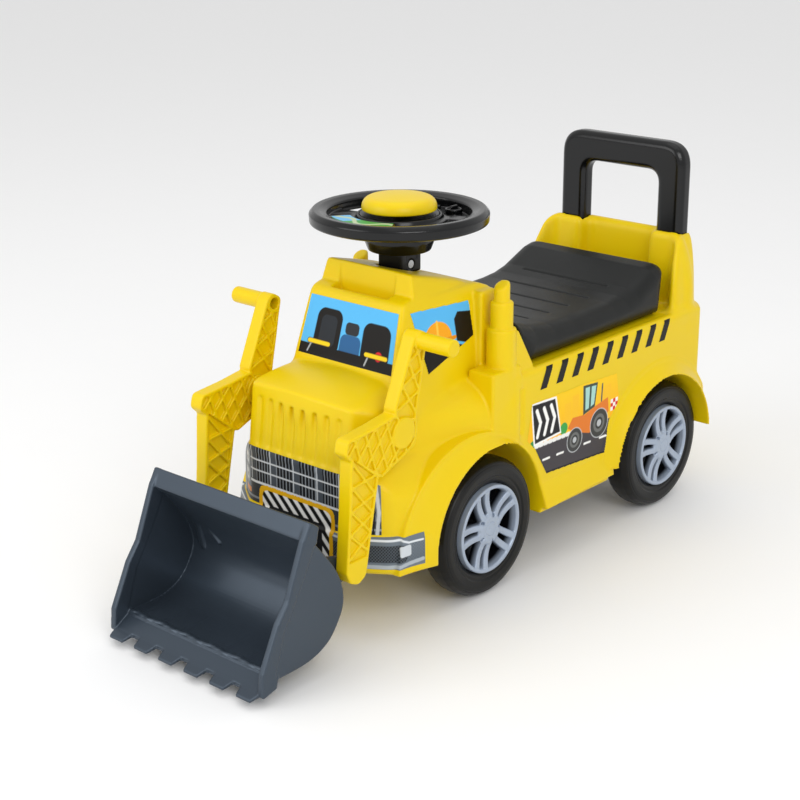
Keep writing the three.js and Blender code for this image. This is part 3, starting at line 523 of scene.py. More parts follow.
def stacks(body):
    """Exhaust stacks: stepped drums with a slanted tip, moulded in one with the body."""
    body.add(box(70, 99.5, -30, 12, 160, 213.5, 2.5), 2)
    body.add(slab([(0, 200), (0, 250), (11.5, 245), (34, 208), (34, 200)], 76, 96, 1), 1)
    for r, top in STACK_STEPS:
        body.add(rod_z(r, STACK_X, STACK_Y, 186, top, 2.2), 1.2)
    tip, low, high = rod_z(7.3, STACK_X, STACK_Y, 250, 300)
    slanted = custom(lambda x, y, z: smax(tip(x, y, z), (z - 290 - (y - STACK_Y) * 0.5) * 0.9, 3), low, high)
    body.add(slanted, 1.2)


def wheel_arches(body):
    """Flared lips around the four wheel openings and the sill flares between them."""
    for arch in ARCHES:
        def flare(x, y, z, arch=arch):
            rho = np.hypot(y - arch["y"], z - arch["z"])
            crease_y, crease_z, crease_r = arch["crease"]
            left = crease_r - np.hypot(y - crease_y, z - crease_z)
            t = np.clip(left / np.maximum(left + rho - arch["r"], 1), 0, 1)
            width = FLANK_X + (arch["reach"] - FLANK_X) * t ** 1.4
            ring = np.maximum(-left - 3, arch["r"] - 20 - rho)
            return smax(smax(np.abs(x) - width, ring, 2), arch["foot"] - z, 1.5)

        reach = arch["r"] + 36
        rear = min(arch["y"] + reach, BACK_Y - 1)
        body.add(custom(flare, (88, arch["y"] - reach, 56), (114, rear, 175)), 2)
    body.keep(lambda x, y, z: y - BACK_Y, 3)
    body.add(hull([
        (95, 44, 61), (95, 162, 64), (107.5, 46, 62), (107.5, 160, 65), (105, 46, 66), (105, 160, 69),
        (100.5, 44, 86), (100.5, 162, 86), (95, 44, 86), (95, 162, 86)], 1.5), 2)


def bumper(body):
    """The bumper bar bows round the nose and stands a little proud of it."""
    body.add(hull([
        (58, -166, 57), (60, -184, 64), (60, -184, 99), (86, -152, 57), (96, -160, 64), (96, -160, 99),
        (109, -128, 64), (109, -126, 97), (109, -112, 62), (60, -150, 99)], 4), 1.5)


def seat_well(body):
    """The opening over the bin, with its rebate, and the flat ledge the lid sits on."""
    body.cut(box(-91.5, 91.5, 27, 263.5, LEDGE_Z, 300, 1.5), 1.5)
    body.cut(box(-66, 66, 9.6, 40, 230, 300, 1), 0.8)
    body.cut(box(-75.3, 75.3, 56.7, 248.3, LEDGE_Z - 3.8, 215))


def underside(body):
    """Opens the shell underneath, so that it is one wall all over."""
    level = int(np.searchsorted(body.axes[2], SHELL_FOOT))
    plan = body.d[:, :, level] + WALL_T
    z = body.axes[2][None, None, :]
    opening = smax(plan[:, :, None], z - SHELL_OPEN, 0)
    body.d = smax(smax(body.d, -(body.d + WALL_T), 0), -opening, 0).astype(np.float32)


def small_openings(body):
    """Room for the axles, the bin and the steering column, and the holes for the handle and its screws."""
    body.cut(box(-70, 70, FRONT_Y - 22, FRONT_Y + 38, 30, 90, 3), 1)
    body.cut(box(-70, 70, REAR_Y - 15, REAR_Y + 15, 30, 83, 3), 1)
    body.cut(box(-70, 70, 62, 243, 150, 215))
    recess = node_box("roof_bush")[1][2] - 1.8
    body.cut(rod_z(22, 0, STEER_Y, recess, 330, 1), 1)
    body.cut(rod_z(7.5, 0, STEER_Y, 262, 300))
    body.cut(box(44.6, 76.4, HANDLE_LOW[1] - 0.4, HANDLE_HIGH[1] + 0.4, 240, 290))
    body.cut(rod_y(2.6, SCREW_X, 310, 340, SCREW_Z))


def bosses(body):
    """Bosses the loader swings on, and the lugs of the seat hinge."""
    body.add(rod_x(12, 60, ARM_LOW[0] - 0.7, ARM_Y, ARM_Z, 2), 3)
    body.cut(rod_x(4.3, 60, 90, ARM_Y, ARM_Z))
    lug = [(4, HINGE_Z - 8), (HINGE_Y, HINGE_Z - 8), *arc(HINGE_Y, HINGE_Z, 5, -60, 120, 6), (4, HINGE_Z + 4)]
    body.add(slab(lug, 40, 46, 0.5), 1)
    body.cut(rod_x(2.3, 0, 60, HINGE_Y, HINGE_Z))


def wheel_wells(body):
    """The openings that the wheels turn in, and the crease behind the front fender."""
    body.cut(box(98.5, 112, 9.5, 14.5, 148, 190, 2), 3)
    for arch in ARCHES:
        y, z, r, depth = arch["y"], arch["z"], arch["r"], arch["depth"]
        body.cut(rod_x(r, depth, 130, y, z, 2), 1.2)
        body.cut(box(depth, 130, y - r + 0.5, y + r - 0.5, 20, z))


def body_moulding():
    body = Moulding((0, -190, 50), (LIP_X + 2, BACK_Y + 3, 316), 1.3)
    for stage in (bonnet, cab, rear_body, wheel_arches, bumper, stacks, wheel_wells, seat_well, underside,
                  small_openings, bosses):
        stage(body)
    return finish_piece(body.mesh("body_moulding"), YELLOW, "chassis", "body_yellow", "body_shell")


BODY = body_moulding()
BODY_TREE = BVHTree.FromObject(BODY, bpy.context.evaluated_depsgraph_get())


# ---------------------------------------------------------------- seat

SADDLE = [(11, 248), (15, 251), (24, 248.5), (36, 243), (52, 237.5), (81, 233.2), (113, 231.6), (146, 231.8),
          (178, 232.6), (198, 234.6), (215, 239), (232, 247), (246, 253.5), (258, 256),
          (266, 253.5), (269, 247)]
GROOVES = ((81, 233.2), (113.7, 231.6), (145.1, 231.8), (178.5, 232.6), (211.3, 237.9))


def saddle(grow):
    """The saddle's side outline drawn in by -grow, with the shoulders rounded across the seat."""
    foot = [(258, 206), (257, 204.5), (37, 204.5), (35, 208), (13, 242)]
    pts = rounded([*SADDLE, *foot], 6)

    def distance(x, y, z):
        side = outline_distance(y, z, pts)
        across = np.abs(x) - (90.5 - np.clip(z - LEDGE_Z, 0, 60) * 0.1)
        return smax(side, across, 18) - grow

    return custom(distance, (0, 8, 200), (92, 272, 260))


def seat_piece():
    """The hollow lid: grooves across the saddle, and room in front for the cab and the hinge lugs."""
    seat = Moulding((0, 6, 198), (94, 272, 262), 1.0)
    seat.add(saddle(0))
    for y, z in GROOVES:
        seat.cut(capsule((-52, y, z + 0.2), (52, y, z + 0.2), 1.5), 0.8)
    inner = saddle(-3)
    hollow = custom(lambda x, y, z: smax(inner[0](x, y, np.maximum(z, 212)), 22 - y, 0),
                    (0, 22, 196), (92, 270, 260))
    seat.cut(hollow)
    seat.cut(box(66.5, 95, 0, HINGE_Y + 10, 195, 300, 1), 1)
    seat.cut(box(39.3, 46.7, 0, HINGE_Y + 10, HINGE_Z - 14, HINGE_Z + 14), 0.5)
    seat.cut(rod_x(2.4, 0, 70, HINGE_Y, HINGE_Z))
    return finish_piece(seat.mesh("saddle_lid", 2), SEAT_BLACK, "seat", "black_plastic", "seat_lid")


# ---------------------------------------------------------------- push handle

BAR_WIDTH = 31


def handle_piece():
    """An upright hoop with chamfered edges, screwed to the backrest."""
    outer_x, y1, top = HANDLE_HIGH
    y0 = HANDLE_LOW[1]
    inner_x, foot = outer_x - BAR_WIDTH, 242
    grip = Moulding((0, y0 - 2, 238), (outer_x + 2, y1 + 2, top + 2), 1.0)
    loop = rounded([(-outer_x, 200), (-outer_x, top), (outer_x, top), (outer_x, 200)], 26, 10)
    hole = rounded([(-inner_x, 190), (-inner_x, top - BAR_WIDTH), (inner_x, top - BAR_WIDTH), (inner_x, 190)],
                   14, 8)

    def distance(x, y, z):
        face = smax(outline_distance(x, z, loop), -outline_distance(x, z, hole), 0)
        thick = beyond(y, y0, y1)
        chamfer = (face + thick) * 0.7071 + 3.4
        return smax(smax(smax(face, thick, 2.5), chamfer, 2.0), foot - z, 0)

    grip.add(custom(distance, (0, y0, 240), (outer_x, y1, top)))
    grip.cut(rod_y(2.4, SCREW_X, y0 + 4, y1 + 5, SCREW_Z))
    return finish_piece(grip.mesh("push_handle"), BLACK_GLOSS, "chassis", "black_plastic", "rear_handle")


# ---------------------------------------------------------------- wheels


def lay_ink(piece, ink):
    """Stores a colour for every point of the piece."""
    colors = np.ones((len(ink), 4), np.float32)
    colors[:, :3] = ink
    piece.data.color_attributes.new("ink", "FLOAT_COLOR", "POINT").data.foreach_set("color", colors.ravel())


def spun(profile, steps):
    """A closed (radius, x) profile turned about the X axis, as points and quads."""
    pts = np.array(profile, float)
    turns = np.radians(np.arange(steps) * 360 / steps)
    rings = [np.column_stack([pts[:, 1], pts[:, 0] * math.cos(t), pts[:, 0] * math.sin(t)]) for t in turns]
    ids = np.arange(steps * len(pts)).reshape(steps, len(pts))
    around, along = np.roll(ids, -1, 0), np.roll(ids, -1, 1)
    faces = np.stack([ids, along, np.roll(along, -1, 0), around], axis=-1)
    return np.concatenate(rings), faces.reshape(-1, 4)


NOTCHES, NOTCH_R = 40, 64.6
SPOKES = 5
BORE = 4.4                               # bores for the axles and pins


def tyre_profile():
    """A hard tyre: flat tread between round shoulders, and a stepped bead beside the rim."""
    inner, outer = TYRE_LOW[0], TYRE_HIGH[0]
    bead = 42.6
    base = [(bead, inner + 3), (48, inner + 1.2), (50, inner + 0.6), (58, inner), (63, inner + 2.4),
            (TYRE_R - 0.6, inner + 7.5), (TYRE_R, inner + 12), (TYRE_R, outer - 12),
            (TYRE_R - 0.6, outer - 7.5), (63.2, outer - 2.6), (61.6, outer - 1.1), (60.9, outer - 1.3),
            (60.2, outer - 0.5), (57, outer), (51, outer - 0.3), (49.6, outer - 1.5), (47.4, outer - 1.3),
            (45.2, outer - 2.2), (bead, outer - 4), (bead, outer - 20)]
    return rounded(base, 1.6, 3)


def tyre_piece(end, side, s, y0):
    """One tyre, with small notches moulded round both shoulders."""
    points, faces = spun(tyre_profile(), 120)
    angle = np.arctan2(points[:, 2], points[:, 1])
    rho = np.hypot(points[:, 1], points[:, 2])
    notch = (np.cos(angle * NOTCHES) > 0.72) * np.exp(-((rho - NOTCH_R) / 1.3) ** 2) * 0.55
    points[:, 1:] *= (1 - notch / rho)[:, None]
    points = points * (s, 1, 1) + (0, y0, AXLE_Z)
    faces = faces[:, ::-1] if s > 0 else faces
    piece = mesh_object(f"hard_tyre_{end}_{side}", points * MM, faces)
    return finish_piece(piece, TYRE_BLACK, f"wheel_{end}_{side}", "tyre_black", f"tyre_{end}_{side}")


def spoke(angle, side, face):
    """One of a pair of spokes; the two spread a little towards the rim."""
    a = np.array((math.cos(angle), math.sin(angle)))
    across = np.array((-a[1], a[0]))
    base = a * 10 + across * side * 4.4
    tip = a * 38 + across * side * 6.6
    bar = (tip - base) / np.linalg.norm(tip - base)
    normal = np.array((-bar[1], bar[0]))
    foot = [base - normal * 3.0, tip - normal * 3.4, tip + normal * 3.4, base + normal * 3.0]

    def distance(x, y, z):
        rho = np.hypot(y, z)
        top = face - 2.2 * np.sin(np.clip((rho - 12) / 26, 0, 1) * math.pi)
        return smax(outline_distance(y, z, foot), np.maximum(x - top, face - 12 - x), 1.6)

    return custom(distance, (face - 13, -43, -43), (face + 2, 43, 43))


def rim_master(face):
    """One rim, facing +X about the origin: double spokes, a flat hub and a deep barrel."""
    rim = Moulding((70, -44, -44), (face + 3, 44, 44), 0.6, False)
    rim.add(turned_x(rounded([(37.4, 74), (42.2, 74), (42.2, face - 0.8), (41.0, face), (39.4, face),
                              (38.2, face - 1.8), (37.4, face - 8)], 0.7), 0, 0))
    rim.add(turned_x([(0, 78), (38, 78), (38, 81), (0, 81)], 0, 0), 1)
    hub = [(0, 72), (11, 72), (12, 90), (16, face - 3.5), (13.5, face - 0.8), (0, face - 0.4)]
    rim.add(turned_x(rounded(hub, 1.5), 0, 0), 1.5)
    for i in range(SPOKES):
        for side in (-1, 1):
            rim.add(spoke(math.radians(90 + i * 360 / SPOKES), side, face - 0.8), 1.0)
        a = math.radians(90 + (i + 0.5) * 360 / SPOKES)
        rim.cut(rod_x(2.0, face - 4.5, face + 5, 13 * math.cos(a), 13 * math.sin(a), 0.5), 0.8)
    rim.cut(turned_x([(6.4, face - 1.2), (7.0, face - 1.2), (7.0, face + 4), (6.4, face + 4)], 0, 0), 0.3)
    rim.cut(rod_x(BORE, 60, node_box("rear_axle")[1][0] + 0.4, 0, 0))
    return rim.mesh("rim_master", 1)


def rim_pieces():
    """Four copies of one rim, each turned a little; painted shade darkens the barrel behind the spokes."""
    face = node_box("rim_front_left")[1][0]
    master = rim_master(face)
    count = len(master.data.vertices)
    flat = np.zeros(count * 3, np.float32)
    master.data.vertices.foreach_get("co", flat)
    shape = flat.reshape(-1, 3) / MM
    rho = np.hypot(shape[:, 1], shape[:, 2])
    # painted shade: points inside the barrel, deeper than the back of the spokes, fade to near-black ink over
    # 5 mm
    deep = np.clip((face - 4.5 - shape[:, 0]) / 5, 0, 1) * (rho < 41)
    ink = np.array(linear("#A3AFC0")) * (1 - deep[:, None]) + np.array(linear("#0D0F14")) * deep[:, None]
    for end, y0, turn in (("front", FRONT_Y, 17), ("rear", REAR_Y, 8)):
        c, n = math.cos(math.radians(turn)), math.sin(math.radians(turn))
        turned = np.column_stack([shape[:, 0], shape[:, 1] * c - shape[:, 2] * n + y0,
                                  shape[:, 1] * n + shape[:, 2] * c + AXLE_Z])
        for side, s in SIDES:
            data = master.data.copy()
            data.vertices.foreach_set("co", (turned * (s, 1, 1) * MM).ravel())
            if s < 0:
                data.flip_normals()
            piece = bpy.data.objects.new(f"spoked_rim_{end}_{side}", data)
            bpy.context.scene.collection.objects.link(piece)
            lay_ink(piece, ink)
            finish_piece(piece, SILVER, f"wheel_{end}_{side}", "rim_silver",
                         f"rim_{end}_{side}", f"wheel_cap_{end}_{side}")
    bpy.data.objects.remove(master)


# ---------------------------------------------------------------- steering wheel


def sector(r0, r1, start, end, z0, z1, k):
    """A curved pocket between two radii and two angles about the steering axis."""
    mid, half = math.radians((start + end) / 2), math.radians((end - start) / 2)

    def distance(x, y, z):
        rho = np.hypot(x, y - STEER_Y)
        angle = np.abs((np.arctan2(y - STEER_Y, x) - mid + math.pi) % (2 * math.pi) - math.pi)
        side = (angle - half) * np.maximum(rho, 1)
        band = smax(r0 - rho, rho - r1, k)
        return smax(smax(side, band, k), smax(z0 - z, z - z1, 0), 0.8)

    return custom(distance, (-r1, STEER_Y - r1, z0), (r1, STEER_Y + r1, z1))


PANEL_R = (43, 64.5)                     # the pockets and the printed panel, across the dish
PANEL_TURN = (232, 308)
PANEL_Z = STEER_TOP - 4.6


def on_dish(r, turn):
    """The x and y of a place on the dish, from its radius and its angle in degrees."""
    a = math.radians(turn)
    return r * math.cos(a), STEER_Y + r * math.sin(a)


def dish_details(wheel, top):
    """Pockets and slots in the dish, the printed panel's seat, a toy key and four push bumps."""
    for start, end in ((-7, 29), (151, 187)):
        wheel.cut(sector(*PANEL_R, start, end, top - 30, top + 5, 3), 0.8)
    wheel.cut(sector(*PANEL_R, 47, 133, top - 11.6, top + 5, 4), 0.8)
    wheel.add(sector(*PANEL_R, *PANEL_TURN, top - 12, PANEL_Z, 2), 0.6)
    for turn in (-24, 204):
        wheel.cut(capsule((*on_dish(47, turn), top - 7.5), (*on_dish(61, turn), top - 7.5), 2.6), 0.8)
    x, y = on_dish(54, 66)
    wheel.add(rod_z(8, x, y, top - 13, top - 6, 1), 0.6)
    wheel.cut(rod_z(5.6, x, y, top - 8, top + 2, 0.5), 0.5)
    wheel.add(box(x - 1.3, x + 1.3, y - 5, y + 5, top - 11, top - 3.4, 1), 0.5)
    for i in range(4):
        wheel.add(rod_z(3.1, *on_dish(55, 92 + i * 10), top - 13, top - 7.5, 1.2), 0.4)


def steering_piece():
    """A thick rim round a sunk dish, with the hub bowl below it, hollow and open to the horn."""
    top = STEER_TOP
    low = WHEEL_LOW[2]
    room = STEER_R + 2
    wheel = Moulding((-room, STEER_Y - room, low - 3), (room, STEER_Y + room, top + 2), 0.85, False)
    rim = [(STEER_R - 5, top - 14), (STEER_R - 0.4, top - 12), (STEER_R, top - 4), (STEER_R - 3.5, top),
           (STEER_R - 9, top - 0.4), (STEER_R - 16.5, top - 3), (STEER_R - 16.5, top - 11)]
    wheel.add(turned_z(rounded(rim, 2.2), STEER_Y))
    dish = [(0, top - 13), (STEER_R - 10, top - 13), (STEER_R - 10, top - 9.5), (0, top - 8)]
    wheel.add(turned_z(dish, STEER_Y), 1.5)
    bowl = rounded([(0, low + 0.2), (28.6, low + 0.2), (32.3, low + 10), (32.3, top - 16), (38.6, top - 12),
                    (38.6, top - 8), (0, top - 8)], 1.5)
    wheel.add(turned_z(bowl, STEER_Y), 2)
    collar = rounded([(0, top - 12), (39.4, top - 12), (39, top - 6.5), (38, top - 4.6), (0, top - 4.6)], 1)
    wheel.add(turned_z(collar, STEER_Y), 1.5)
    dish_details(wheel, top)
    hub_z, lid = low + 3, top - 12.5
    wheel.cut(turned_z([(0, hub_z), (27, hub_z), (30.5, hub_z + 8), (30.5, lid), (0, lid)], STEER_Y))
    wheel.cut(rod_z(36.3, 0, STEER_Y, top - 9.6, top + 4), 0.3)
    wheel.cut(rod_z(29, 0, STEER_Y, top - 20, top + 4))
    wheel.cut(rod_z(BORE, 0, STEER_Y, low - 5, hub_z + 2))
    return finish_piece(wheel.mesh("steering_wheel_moulding"), BLACK_GLOSS, "steering", "black_plastic",
                        "steering_wheel")


HORN_R = 34.0
COIL_R, WIRE_R, COIL_TURNS = 8.5, 0.6, 4


def horn_piece():
    """A shallow pillow-shaped button with a soft edge."""
    low, high = (v[2] for v in node_box("horn_button"))
    base = low + 4.8
    room = HORN_R + 3
    horn = Moulding((-room, STEER_Y - room, low), (room, STEER_Y + room, high + 1), 0.8, False)

    def dome(x, y, z):
        rho = np.hypot(x, y - STEER_Y)
        crown = high - 1.4 - (rho / HORN_R) ** 2 * 3.6
        return smax(smax(rho - HORN_R, z - crown, 9), base - z, 1.2)

    horn.add(custom(dome, (-35, STEER_Y - 35, base), (35, STEER_Y + 35, high)))
    horn.cut(rod_z(31.2, 0, STEER_Y, base - 3, base + 5, 1))
    horn.cut(rod_z(11, 0, STEER_Y, base - 3, high - 4.5))
    horn.add(rod_z(5.4, 0, STEER_Y, low + 0.4, high - 3))
    return finish_piece(horn.mesh("horn_dome"), YELLOW, "horn", "body_yellow", "horn_button")


def spring_piece():
    """The coil under the button."""
    low, high = (v[2] for v in node_box("horn_spring"))
    steps, sides = 24 * COIL_TURNS, 8
    points, faces = [], []
    for i in range(steps + 1):
        turn = 2 * math.pi * COIL_TURNS * i / steps
        z = low + WIRE_R + (high - low - 2 * WIRE_R) * i / steps
        for k in range(sides):
            a = 2 * math.pi * k / sides
            r = COIL_R + WIRE_R * math.cos(a)
            points.append((r * math.cos(turn), STEER_Y + r * math.sin(turn), z + WIRE_R * math.sin(a)))
            if i < steps:
                b = (k + 1) % sides
                faces.append((i * sides + k, (i + 1) * sides + k, (i + 1) * sides + b, i * sides + b))
    for ring, flip in ((0, False), (steps, True)):
        centre = len(points)
        points.append(tuple(np.mean(points[ring * sides:(ring + 1) * sides], axis=0)))
        for k in range(0, sides, 2):
            face = [ring * sides + k, ring * sides + k + 1, ring * sides + (k + 2) % sides, centre]
            faces.append(tuple(reversed(face)) if flip else tuple(face))
    piece = mesh_object("horn_coil", np.array(points) * MM, faces)
    finish_piece(piece, STEEL, "steering", "zinc_steel", "horn_spring")
    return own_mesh(piece)


def post_piece():
    """The square post, bored for the rod and the clamp bolt, with a shallow panel on two sides."""
    low, high = node_box("steering_post")
    half = (high[0] - low[0]) / 2
    mid = (low[1] + high[1]) / 2
    room = half + 2
    post = Moulding((-room, mid - room, low[2] - 2), (room, mid + room, high[2] + 2), 0.6, False)
    post.add(box(-half, half, mid - half, mid + half, low[2], high[2], 2.5))
    post.cut(rod_z(BORE, 0, mid, low[2] - 2, high[2] + 2))
    bolt_z = node_box("column_bolt")[0][2] + 3.7
    post.cut(rod_x(2.5, -20, 20, mid, bolt_z))
    post.cut(rod_x(4.6, half - 3.4, half + 3, mid, bolt_z), 0.5)
    post.cut(rod_x(4.6, -half - 3, -half + 3.8, mid, bolt_z), 0.5)
    for s in (-1, 1):
        post.cut(box(s * half - 0.6, s * half + 0.6, mid - 8, mid + 8, low[2] + 12.5, high[2] - 2, 1), 0.6)
    return finish_piece(post.mesh("square_post"), BLACK_SATIN, "steering", "black_plastic", "steering_post")


# ---------------------------------------------------------------- loader

LEVER = [(-124, 277.5), (-113, 271), (-116.5, 256), (-120.4, 236), (-125, 215), (-128.3, 197), (-154, 203),
         (-156.3, 213), (-131, 272)]
PLATE = [(-127, 188), (-127.6, 201), (-156, 209.5), (-181, 205.5), (-214, 202), (-217.2, 190), (-209, 182),
         (-173, 157.6), (-145, 168.8), (-129.6, 176)]
LEG = [(-209.6, 190), (-175.8, 162), (-183.8, 123), (-191.5, 84), (-194, 75), (-203, 70), (-213, 74),
       (-217.3, 84), (-213, 133)]
PEG_Y, PEG_Z = -122, 267
ARM_FACE = 95.0                          # the arm's outer face; only the hand peg stands out past it
FOOT_BORE = 3.4


def segment(y, z, a, b):
    """Distance to the line from a to b in the side view."""
    ey, ez = b[0] - a[0], b[1] - a[1]
    t = np.clip(((y - a[0]) * ey + (z - a[1]) * ez) / (ey * ey + ez * ez), 0, 1)
    return np.hypot(y - a[0] - t * ey, z - a[1] - t * ez)


def crossed(front, rear, cells):
    """Ribs that cross in a column of X shapes between a front edge and a rear edge."""
    def at(edge, i):
        return tuple(np.array(edge[0]) + (np.array(edge[1]) - np.array(edge[0])) * i / cells)

    ribs = []
    for i in range(cells):
        ribs.append((at(front, i), at(rear, i + 1)))
        ribs.append((at(rear, i), at(front, i + 1)))

    def distance(y, z):
        d = None
        for a, b in ribs:
            e = segment(y, z, a, b) - 1.25
            d = e if d is None else smin(d, e, 1.5)
        return d

    return distance


def diamonds(wide, tall, lean):
    """Ribs that cross in steep diamonds, each one wide by tall, leaning over by an angle."""
    c, s = math.cos(lean), math.sin(lean)
    scale = 1 / math.hypot(1 / wide, 1 / tall)

    def distance(y, z):
        u, v = (y * c + z * s) / wide, (z * c - y * s) / tall
        a = np.abs(u + v - np.round(u + v)) * scale - 1.15
        b = np.abs(u - v - np.round(u - v)) * scale - 1.15
        return smin(a, b, 1.2)

    return distance


LATTICES = (
    (LEVER, crossed(((-130, 271), (-153, 212)), ((-117, 262), (-128, 204)), 3)),
    (PLATE, diamonds(15, 25, math.radians(-12))),
    (LEG, crossed(((-207, 180), (-213, 96)), ((-178, 163), (-189, 96)), 4)),
)


def arm_piece(side, s):
    """A lever, a plate and a leg in one moulding, recessed to crossed ribs on both faces, with a hand peg."""
    inner, outer = ARM_LOW[0], ARM_FACE
    peg = ARM_HIGH[0]
    arm = Moulding((inner - 2, -222, 66), (peg + 2, -98, 280), 0.8, False)
    for points in (LEVER, PLATE, LEG):
        arm.add(slab(rounded(points, 6), inner, outer, 1.6), 1.5)
    arm.add(rod_x(13.5, inner, outer + 0.4, ARM_Y, ARM_Z, 1.6), 2)
    for points, ribs in LATTICES:
        outline = np.array(points)
        for x0, x1 in ((outer - 3.2, outer + 4), (inner - 4, inner + 3.2)):
            def pocket(x, y, z, x0=x0, x1=x1, outline=outline, ribs=ribs):
                keep = np.minimum(np.hypot(y - ARM_Y, z - ARM_Z) - 14, np.hypot(y - PEG_Y, z - PEG_Z) - 9)
                keep = np.minimum(keep, z - 93)
                flat = smax(outline_distance(y, z, outline) + 3, -np.minimum(ribs(y, z), keep), 1)
                return smax(flat, beyond(x, x0, x1), 0.8)

            arm.cut(custom(pocket, (x0, *outline.min(0)), (x1, *outline.max(0))), 0.8)
    arm.add(rod_x(7.6, inner + 2, peg, PEG_Y, PEG_Z, 1.5), 1.5)
    arm.cut(rod_x(5.2, inner - 3, peg - 3, PEG_Y, PEG_Z), 0.8)
    for r, y, z in ((BORE, ARM_Y, ARM_Z), (FOOT_BORE, FOOT_Y, FOOT_Z)):
        arm.cut(rod_x(r, inner - 3, PIN_HIGH[0] + 0.6, y, z))
    piece = arm.mesh(f"lattice_arm_{side}")
    if s < 0:
        piece.data.transform(((-1, 0, 0, 0), (0, 1, 0, 0), (0, 0, 1, 0), (0, 0, 0, 1)))
        piece.data.flip_normals()
    return finish_piece(piece, YELLOW, "loader", "body_yellow", f"arm_{side}")


SCOOP = [(-303, 19.5), (-265, 21), (-241, 30), (-227, 46), (-221, 61), (-223, 78), (-232, 97), (-253, 124),
         (-250.5, 139), (-260, 145.5)]
SCOOP_IN = [(-303, 23.5), (-266, 24.5), (-243.5, 33), (-230.5, 48), (-225, 62), (-227, 77), (-236, 96),
            (-258, 124), (-268, 131)]
CHEEK = [(-259, 145.5), (-250.5, 139), (-254, 126), (-272, 92), (-292, 60), (-303, 27), (-303, 13),
         (-320, 9.5), (-318, 30), (-299, 69), (-287, 85), (-268, 132)]
FLANGE = [(-260, 145.5), (-250.5, 139), (-253, 125), (-259, 123), (-267, 131)]
CUTTING_EDGE = [(-300, 23.5), (-303, 14), (-318, 9.6), (-318, 13.4), (-306, 21)]
TOOTH_PITCH = 32
TOOTH_ROOT, TOOTH_TIP = 12, 8.5          # half the width of a tooth at each end


def flowing(points, steps=6):
    """A smooth curve through the points (Catmull-Rom), without its end spans."""
    pts = [np.array(p, float) for p in (points[0], *points, points[-1])]
    curve = []
    for a, b, c, d in zip(pts, pts[1:], pts[2:], pts[3:]):
        for i in range(steps):
            t = i / steps
            curve.append(tuple(0.5 * (2 * b + (c - a) * t + (2 * a - 5 * b + 4 * c - d) * t ** 2
                                      + (3 * b - a - 3 * c + d) * t ** 3)))
    return [*curve, points[-1]]


def tooth(x, tip):
    """A flat wedge, narrower and thinner at its tip."""
    ends = ((TOOTH_ROOT, -315, 10.4, 14.6), (TOOTH_TIP, tip + 0.4, 6.8, 9.8))
    corners = [(x + s * half, y, z) for half, y, *heights in ends for z in heights for s in (-1, 1)]
    return hull(corners, 0.8, False)


def bucket_piece():
    """A curved scoop with thick cheeks, a top flange and a sloping cutting edge notched into six teeth."""
    half = BUCKET_HIGH[0]
    tip = BUCKET_LOW[1]
    scoop = Moulding((0, tip - 3, 2), (half + 2, FOOT_Y + 14, 150), 0.9)
    outer = [*flowing(SCOOP[:8]), *SCOOP[8:], (-266, 132), (-309, 30)]
    scoop.add(slab(outer, -half + 1.6, half - 1.6, 1.6))
    scoop.cut(slab([*flowing(SCOOP_IN), (-290, 160), (-350, 160), (-350, 23.5)], -half + 6, half - 6), 1.5)
    scoop.add(slab(rounded(CHEEK, 2), half - 6.5, half, 1.2), 0.8)
    scoop.add(slab(rounded(FLANGE, 1.2), -half, half, 1), 1)
    scoop.add(slab(CUTTING_EDGE, -half, half, 0.8), 0.8)
    for i in range(3):
        scoop.add(tooth(TOOTH_PITCH * (i + 0.5), tip), 0.8)

    def wave(x, y, z):
        bend = 1.2 * np.cos(x * 2 * math.pi / TOOTH_PITCH) ** 3
        return smax(np.abs(y + 301 + bend) - 2.2, np.abs(z - 22.6) - 2.6, 1.2)

    scoop.add(custom(wave, (0, -306, 18), (half - 6, -296, 26)), 1)
    for x in (26, 52, 76):
        scoop.cut(capsule((x, -292, 24.6), (x, -266, 26.2), 1.4), 1.2)
    scoop.add(capsule((53, -226, 74), (62, -227.5, 84), 2.2), 2)
    ear = [(-226, 62), (-204, 72), *arc(FOOT_Y, FOOT_Z, 9.5, -80, 80, 6), (-233, 100)]
    scoop.add(slab(ear, 74, 80.3, 1), 2)
    scoop.cut(rod_x(FOOT_BORE, 60, 90, FOOT_Y, FOOT_Z))
    return finish_piece(scoop.mesh("scoop", 1), SLATE, "bucket", "slate_plastic", "bucket")


seat_piece()
handle_piece()
rim_pieces()
for end, y0 in (("front", FRONT_Y), ("rear", REAR_Y)):
    for side, s in SIDES:
        tyre_piece(end, side, s, y0)
STEERING = steering_piece()
horn_piece()
spring_piece()
post_piece()
for side, s in SIDES:
    arm_piece(side, s)
bucket_piece()

# ---------------------------------------------------------------- printed films

SKY = "#58B6EE"
SOOT = "#14110F"
CHROME = "#8E959C"
PALE = "#F4F4F0"
FRAME_YELLOW = "#F0B81C"


